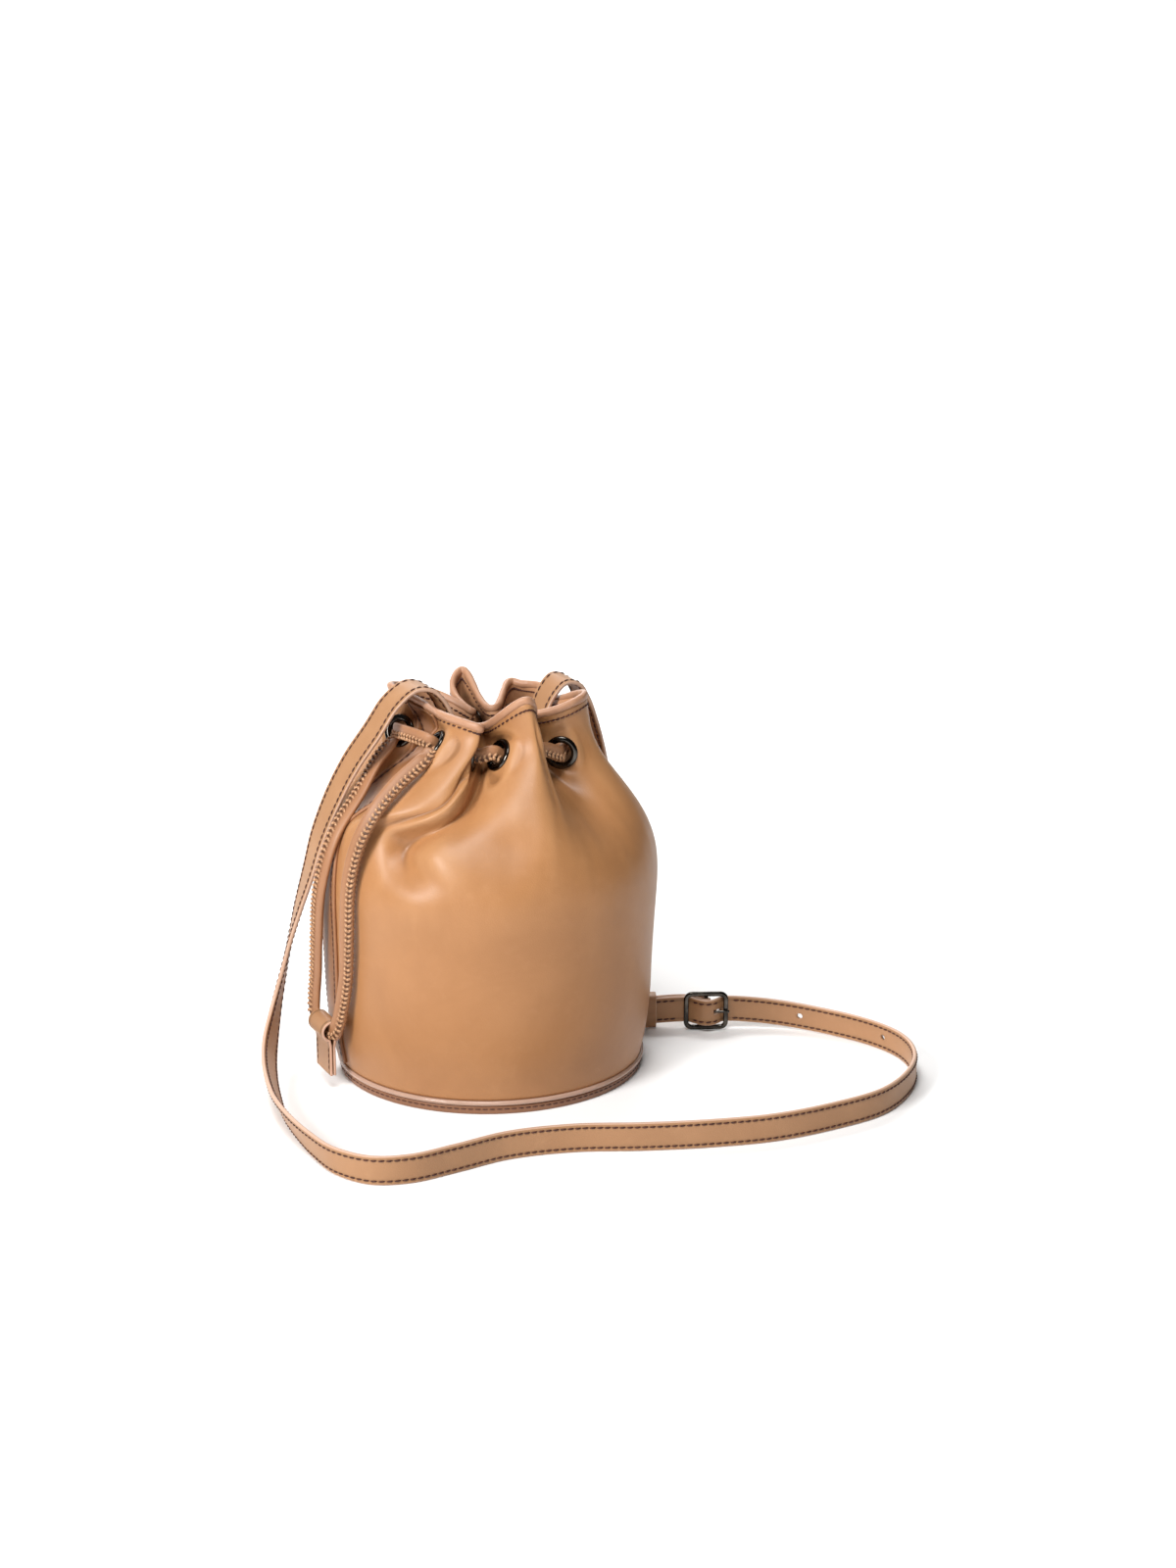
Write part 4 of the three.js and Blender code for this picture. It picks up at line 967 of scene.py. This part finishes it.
def add_tab():
    """A strip rolled once round the foot of the pull cord and sewn double below it: the strip's
    middle line goes up one leg, round the roll and down the other leg."""
    centre = np.array([-99.8, -16, 35]) * MM
    turn = math.radians(10.5)
    side = np.array([-math.sin(turn), math.cos(turn), 0])
    depth_way = np.array([math.cos(turn), math.sin(turn), 0])
    radius, leg, foot = 5.5 * MM, 1.0 * MM, -26.2 * MM
    start = math.asin(leg / radius)
    start += 0.12
    roll = radius * around_circle(np.linspace(-math.pi / 2 + start, 1.5 * math.pi - start, 60))
    down = np.linspace(roll[-1, 1], foot, 22)[1:]
    ease = smooth_step((roll[-1, 1] - down) / (4 * MM))
    first_leg = np.stack([roll[-1, 0] * (1 - ease) - leg * ease, down], 1)
    path = np.concatenate([first_leg[::-1] * [-1, 1], roll, first_leg])
    points, _ = even_points(centre + path[:, :1] * depth_way + path[:, 1:] * UPRIGHT, 0.7 * MM)
    section = band_section(TAB_WIDTH, TAB_THICKNESS, 0.12 * MM, 2.4 * MM, 29)
    x = np.abs(section[:, 0])
    # Painted shade along the stitched groove on each side, passed on as the seam value
    tab = sweep("pull_tab_leather", points, np.tile(side, (len(points), 1)), section,
                edge=np.clip((x - 11.2 * MM) / (0.7 * MM), 0, 1)[None],
                seam=bell((x - TAB_ROW) / (0.5 * MM))[None])
    place(tab, "tab", "strap_leather", tab_leather, "pull_tab")
    rows = np.arange(-21.5, -8, 3.4) * MM
    heights = np.tile(rows, 4)
    sides = np.repeat([-TAB_ROW, TAB_ROW, -TAB_ROW, TAB_ROW], len(rows))
    out = depth_way * np.repeat([1, 1, -1, -1], len(rows))[:, None]
    centres = centre + side * sides[:, None] + UPRIGHT * heights[:, None] + out * 1.62 * MM
    along = np.tile(UPRIGHT, (len(centres), 1))
    thread = stitches("pull_tab_stitches", centres, along, out, TAB_STITCH)
    place(thread, "tab", "strap_leather", brown_thread)
    return tab, thread


tab_piece, tab_thread = add_tab()

# ---------------------------------------------------------------- shoulder strap
def strap_route(draped, upright, way, thickness):
    """Rows of [x, y, z, the way the width runs, thickness] in millimetres. Each draped row says its
    own way; the upright ones are [x, y, z], and their width runs straight up or down."""
    rows = draped + [[*place_at, 0, 0, way] for place_at in upright]
    return np.column_stack([rows, thickness])


LONG_STRAP_ROUTE = strap_route([
    [-20, -4, 197, 0.36, -0.93, -0.1], [-24, -4, 208, 0.36, -0.93, -0.1],
    [-29, -3.5, 218.5, 0.36, -0.93, -0.1], [-35.5, -4, 225.6, 0.36, -0.92, -0.15],
    [-45, -5.5, 227.2, 0.36, -0.92, -0.2], [-56.5, -7.5, 219.5, 0.34, -0.88, -0.3],
    [-67.5, -8.5, 204, 0.32, -0.85, -0.4], [-80, -6.5, 185.5, 0.3, -0.84, -0.43],
    [-89.5, -3, 166, 0.3, -0.85, -0.4], [-98, 1.5, 143, 0.25, -0.9, -0.3],
    [-103.5, 6, 121, 0.15, -0.95, -0.2], [-108.5, 14, 99, 0, -0.98, -0.1],
    [-112.5, 21, 79, -0.15, -0.98, 0.02], [-116.5, 26, 58, -0.25, -0.95, 0.15],
    [-120.5, 26.5, 40, -0.35, -0.85, 0.4], [-125, 18, 26, -0.42, -0.6, 0.65],
    [-129.5, 2, 17.5, -0.48, -0.3, 0.82], [-132.5, -18, 13, -0.5, -0.1, 0.86],
    [-134, -42, 10.5, -0.5, 0, 0.87], [-134, -68, 9.3, -0.45, 0, 0.9],
    [-131, -94, 8.9, -0.35, -0.1, 0.94], [-125, -122, 8.6, -0.2, -0.1, 0.97],
    [-116, -147, 8.4, -0.08, -0.06, 0.99],
], [
    [-100, -163, 8.2], [-80, -166, 8.2], [-55, -159, 8.2], [-24, -149, 8.2], [12, -148.5, 8.2],
    [48, -156, 8.2], [84, -161, 8.2], [120, -162, 8.2], [156, -155, 8.2], [190, -142, 8.2],
    [215, -118, 8.2], [229, -92, 8.2], [232, -65, 8.2], [223, -39, 8.2], [201, -12.5, 8.8],
    [177, 4, 10.5], [158, 10.5, 12], [149.2, 12.5, 12.4], [145.6, 12.2, 12.4], [142, 9.6, 12.4],
    [138, 7.5, 12.4], [133.7, 8.2, 12.4], [130.2, 12.2, 12.4], [127, 16.8, 12.4], [122.5, 18.5, 12.4],
    [107.5, 21.9, 11.6], [99, 23.8, 10.8], [92.7, 27, 9.6], [87.8, 34, 8.7], [83.5, 42.5, 8.3],
], 1, np.repeat(2.4, 53))
SHORT_STRAP_ROUTE = strap_route([
    [28, 10, 194, -0.35, 0.93, 0.1], [33, 12, 205, -0.35, 0.93, 0.1], [38.5, 14.5, 215, -0.4, 0.9, 0.2],
    [46, 17.5, 221.5, -0.45, 0.87, 0.25], [54.5, 20.5, 219.5, -0.45, 0.88, 0.2],
    [61, 24, 209.5, -0.45, 0.9, 0.1], [67, 29, 193, -0.5, 0.87, 0], [73, 37, 174.5, -0.55, 0.84, 0],
    [78.5, 48, 152, -0.6, 0.8, 0], [79.5, 60.5, 128, -0.64, 0.77, 0], [74.5, 72, 104, -0.68, 0.73, 0],
    [71, 76, 80, -0.68, 0.73, 0], [66.5, 80, 56, -0.68, 0.73, -0.05], [63, 82.5, 34, -0.68, 0.7, -0.25],
    [64.5, 81, 19, -0.4, 0.45, -0.8], [71, 74.5, 11, -0.1, 0.1, -0.98],
], [
    [79, 65.5, 9], [86, 55.5, 9], [91.3, 45, 9.4], [94.5, 36, 10], [99.6, 28.6, 10.8],
    [108.3, 25.8, 11.6], [120, 22.9, 12.4], [127.8, 20.9, 12.4], [132.1, 17.7, 12.4],
    [135.7, 14.4, 12.4], [137.7, 13, 12.4], [138.1, 11.5, 12.4], [137.2, 10.2, 12.4],
    [135.5, 9.9, 12.4], [134, 11, 12.4], [131.6, 14.5, 12.4], [128.4, 18.8, 12.4], [123.5, 20.5, 12.4],
    [108, 23.9, 11.8],
], -1, np.repeat([2.4, 1.8, 1.2], [21, 1, 13]))
# The holes for the prong, each with the strap's direction in degrees.
STRAP_HOLES = [
    (142, 9.6, 12.4, -55), (190.4, -4.4, 9.6, -38), (227.5, -48, 8.2, -66), (95, 25.7, 10.1, -30),
]


def bored(piece, places, radius):
    """The piece with a round hole through it at each place, square to the strap there."""
    cutters = []
    for x, y, z, turn in places:
        way = math.radians(turn)
        reach = np.array([[-4], [4]]) * MM * [-math.sin(way), math.cos(way), 0]
        ends = np.array([x, y, z]) * MM + reach
        rod = sweep("cutter", ends, np.tile(UPRIGHT, (2, 1)), oval(2 * radius, 2 * radius, 24))
        cut = piece.modifiers.new("bore", "BOOLEAN")
        cut.object = rod
        cut.solver = "EXACT"
        cutters.append(rod)
    bpy.context.view_layer.update()
    solid = piece.evaluated_get(bpy.context.evaluated_depsgraph_get())
    mesh = bpy.data.meshes.new_from_object(solid)
    piece.modifiers.clear()
    piece.data = mesh
    for rod in cutters:
        bpy.data.objects.remove(rod)
    return piece


# The straps carry no thread this near to where the buckle's frame crosses them.
FRAME_SIDES = np.array([[147.7, 9.4], [124.3, 14.6]]) * MM
FRAME_CLEAR = 5.5 * MM
STRAP_ROW_INSET = 2.3 * MM
STRAP_ROW = STRAP_WIDTH / 2 - STRAP_ROW_INSET


def add_strap(name, route, bare_start, bare_end):
    """A strap carried along its route: a flat band with rolled lips, two stitched grooves and
    painted edges, and a thread in each groove on both faces, but for some at its ends."""
    samples = 10
    places = curve_points(route[:, :3] * MM, samples)
    rows = np.minimum(np.arange(len(places)) / samples, len(route) - 1)
    carried = np.stack([np.interp(rows, np.arange(len(route)), column) for column in route[:, 3:].T], 1)
    points, carried, length = even_points(places, 1.5 * MM, False, carried)
    section = band_section(STRAP_WIDTH, STRAP_THICKNESS, 0.16 * MM, STRAP_ROW_INSET, 33)
    x = np.abs(section[:, 0])
    edge = np.clip((x - (STRAP_WIDTH / 2 - 0.75 * MM)) / (0.45 * MM), 0, 1)
    # Painted shade along the stitched grooves, passed on as the seam value
    seam = 0.45 * bell((x - STRAP_ROW) / (0.5 * MM))
    strap = sweep(name, points, carried[:, :3], section, False, carried[:, 3] * MM / STRAP_THICKNESS,
                  edge=edge[None], seam=seam[None])
    where, way, _ = even_points(points, 4 * MM, False, carried)
    forward = tangents_of(where)
    across = square_to(way[:, :3], forward)
    outward = np.cross(across, forward)
    to_frame = np.linalg.norm(where[:, None, :2] - FRAME_SIDES, axis=-1).min(1)
    number = np.arange(len(where))
    keep = (number >= bare_start) & (number < len(where) - bare_end) & (to_frame > FRAME_CLEAR)
    where, forward, across, outward, way = (a[keep] for a in (where, forward, across, outward, way))
    lift = way[:, 3:] * MM / 2 - 0.12 * MM
    rows = [(edge_side, face) for edge_side in (-1, 1) for face in (-1, 1)]
    centres = np.concatenate([where + across * a * STRAP_ROW + outward * b * lift for a, b in rows])
    out = np.concatenate([outward * face for _, face in rows])
    thread = stitches(f"{name}_stitches", centres, np.tile(forward, (4, 1)), out, STRAP_STITCH)
    return strap, thread, points, length


def add_straps():
    """The long strap, bored for the prong, and the short one with a slot for the prong's eye."""
    for node, route, bare_end, holes, radius in (
            ("strap_long", LONG_STRAP_ROUTE, 1, STRAP_HOLES, 1.8 * MM),
            ("strap_short", SHORT_STRAP_ROUTE, 17, [(137.9, 11.6, 12.4, -103)], 2.2 * MM)):
        strap, thread, points, length = add_strap(f"{node}_leather", route, 2, bare_end)
        bored(strap, holes, radius)
        place(strap, "bag", "strap_leather", strap_leather, node)
        place(thread, "bag", "strap_leather", brown_thread)


add_straps()


# ---------------------------------------------------------------- buckle and keeper
BUCKLE_CENTRE = np.array([136, 12, 12.4]) * MM
BUCKLE_TURN = math.radians(-12.7)
along_buckle = np.array([math.cos(BUCKLE_TURN), math.sin(BUCKLE_TURN), 0])
through_buckle = np.array([-math.sin(BUCKLE_TURN), math.cos(BUCKLE_TURN), 0])


FRAME_WIDTH, FRAME_HEIGHT, FRAME_CORNER = 24 * MM, 21 * MM, 3.4 * MM
BAR_WIDTH = 2.4 * MM
EYE_RADIUS = 1.95 * MM


def at_buckle(points):
    """Places given as [along the strap, through the buckle, up] put at the buckle."""
    points = np.asarray(points, float)
    return BUCKLE_CENTRE + points @ np.array([along_buckle, through_buckle, UPRIGHT])


def rounded_loop(width, height, corner, per_corner=14):
    """The middle line of a rectangle with round corners, as [x, z] points at even steps."""
    angle = np.linspace(0, math.pi / 2, per_corner)
    centres = np.array([[1, 1], [-1, 1], [-1, -1], [1, -1]]) * [width / 2 - corner, height / 2 - corner]
    return np.concatenate([middle + corner * around_circle(angle + k * math.pi / 2)
                           for k, middle in enumerate(centres)])


def add_buckle():
    """The frame's round-cornered ring with its centre bar, and the prong: a bent pin whose eye goes
    round the bar and whose point rests on the far side of the frame."""
    loop = rounded_loop(FRAME_WIDTH, FRAME_HEIGHT, FRAME_CORNER)
    path = at_buckle(np.stack([loop[:, 0], np.zeros(len(loop)), loop[:, 1]], 1))
    path, _ = even_points(path, 1.0 * MM, True)
    inward = unit(BUCKLE_CENTRE - path)
    ring = sweep("buckle_ring", path, inward, oval(3.0 * MM, 2.5 * MM, 18, 0.75), True)
    bar = at_buckle(np.stack([np.zeros(9), np.zeros(9), np.linspace(-10.3, 10.3, 9) * MM], 1))
    centre_bar = sweep("buckle_bar", bar, np.tile(along_buckle, (9, 1)), oval(BAR_WIDTH, BAR_WIDTH, 18))
    place(ring, "buckle", "dark_nickel", dark_nickel, "buckle_frame")
    place(centre_bar, "buckle", "dark_nickel", dark_nickel)
    steps = 40
    eye = np.zeros((steps, 3))
    eye[:, :2] = EYE_RADIUS * around_circle(-np.linspace(-2.9, 1.5 * math.pi - 2.2, steps))
    start, tip = eye[-1], np.array([13.9, -2.45, 0]) * MM
    t = np.linspace(0, 1, steps)[2:, None]
    straight = start + (tip - start) * smooth_step(t)
    straight[:, 1:2] -= np.sin(t * math.pi) * 0.25 * MM
    pin = at_buckle(np.concatenate([eye, straight]))
    pin, _ = even_points(pin, 0.5 * MM)
    taper = np.concatenate([np.ones(len(pin) - 8), np.linspace(1, 0.55, 8)])
    prong = sweep("buckle_prong_pin", pin, np.tile(UPRIGHT, (len(pin), 1)), oval(1.8 * MM, 1.7 * MM, 14),
                  False, taper)
    place(prong, "prong", "dark_nickel", dark_nickel, "buckle_prong")


add_buckle()


def add_keeper():
    """A flat leather loop round both straps, with painted edges."""
    loop = rounded_loop(10.0 * MM, 19.0 * MM, 1.8 * MM, 10)
    centre = np.array([104, 24.6, 11.6]) * MM
    path = centre + loop[:, :1] * through_buckle + loop[:, 1:] * UPRIGHT
    path, _ = even_points(path, 0.8 * MM, True)
    section = band_section(8 * MM, 1.2 * MM, 0, 2 * MM, 15)
    x = np.abs(section[:, 0])
    keeper = sweep("strap_keeper_leather", path, np.tile(along_buckle, (len(path), 1)), section, True,
                   edge=np.clip((x - 3.5 * MM) / (0.4 * MM), 0, 1)[None], seam=np.zeros((1, len(x))))
    place(keeper, "keeper", "strap_leather", strap_leather, "strap_keeper")


add_keeper()


# ---------------------------------------------------------------- floor and light
def add_floor():
    """A plain pale floor that turns up into a backdrop a long way behind, as a quarter circle."""
    back = np.linspace(0, math.pi / 2, 24)
    curve = np.stack([2 + 1.5 * np.sin(back), 1.5 - 1.5 * np.cos(back)], 1)
    profile = np.concatenate([[[-30, 0]], curve, [[3.5, 5]]])
    x = np.array([-30.0, 30.0])
    grid = np.stack(np.broadcast_arrays(x[None, :], profile[:, :1], profile[:, 1:]), -1)
    floor = mesh_piece("floor", grid, [grid_faces(len(profile), 2)])
    made = Finish("floor_white", 0.7, specular=0.2)
    made.colour(made.mix(made.noise(3, 2), (0.92, 0.92, 0.915), (0.95, 0.95, 0.945)))
    floor.data.materials.append(made.material)


def add_light(name, place_at, target, size, power):
    """A square light of that size in metres and power in watts, facing its target."""
    data = bpy.data.lights.new(name, "AREA")
    data.size = size
    data.energy = power
    lamp = bpy.data.objects.new(name, data)
    lamp.location = place_at
    lamp.rotation_euler = (Vector(target) - Vector(place_at)).to_track_quat("-Z", "Y").to_euler()
    bpy.context.scene.collection.objects.link(lamp)


def light_studio():
    """Soft light from the left and in front, a weaker one from above, and a pale room."""
    add_light("key", (-1.5, -1.1, 1.1), (0, 0, 0.12), 0.6, 39)
    add_light("top", (-0.35, -0.9, 1.8), (0, 0, 0.15), 0.7, 25)
    add_light("backdrop", (0, 1.9, 2.6), (0, 3.4, 0.6), 2.0, 130)
    world = bpy.data.worlds.new("room")
    world.use_nodes = True
    room = world.node_tree.nodes["Background"].inputs
    room["Color"].default_value = (1, 1, 1, 1)
    room["Strength"].default_value = 0.07
    bpy.context.scene.world = world
    bpy.context.scene.view_settings.view_transform = "Standard"


add_floor()
light_studio()
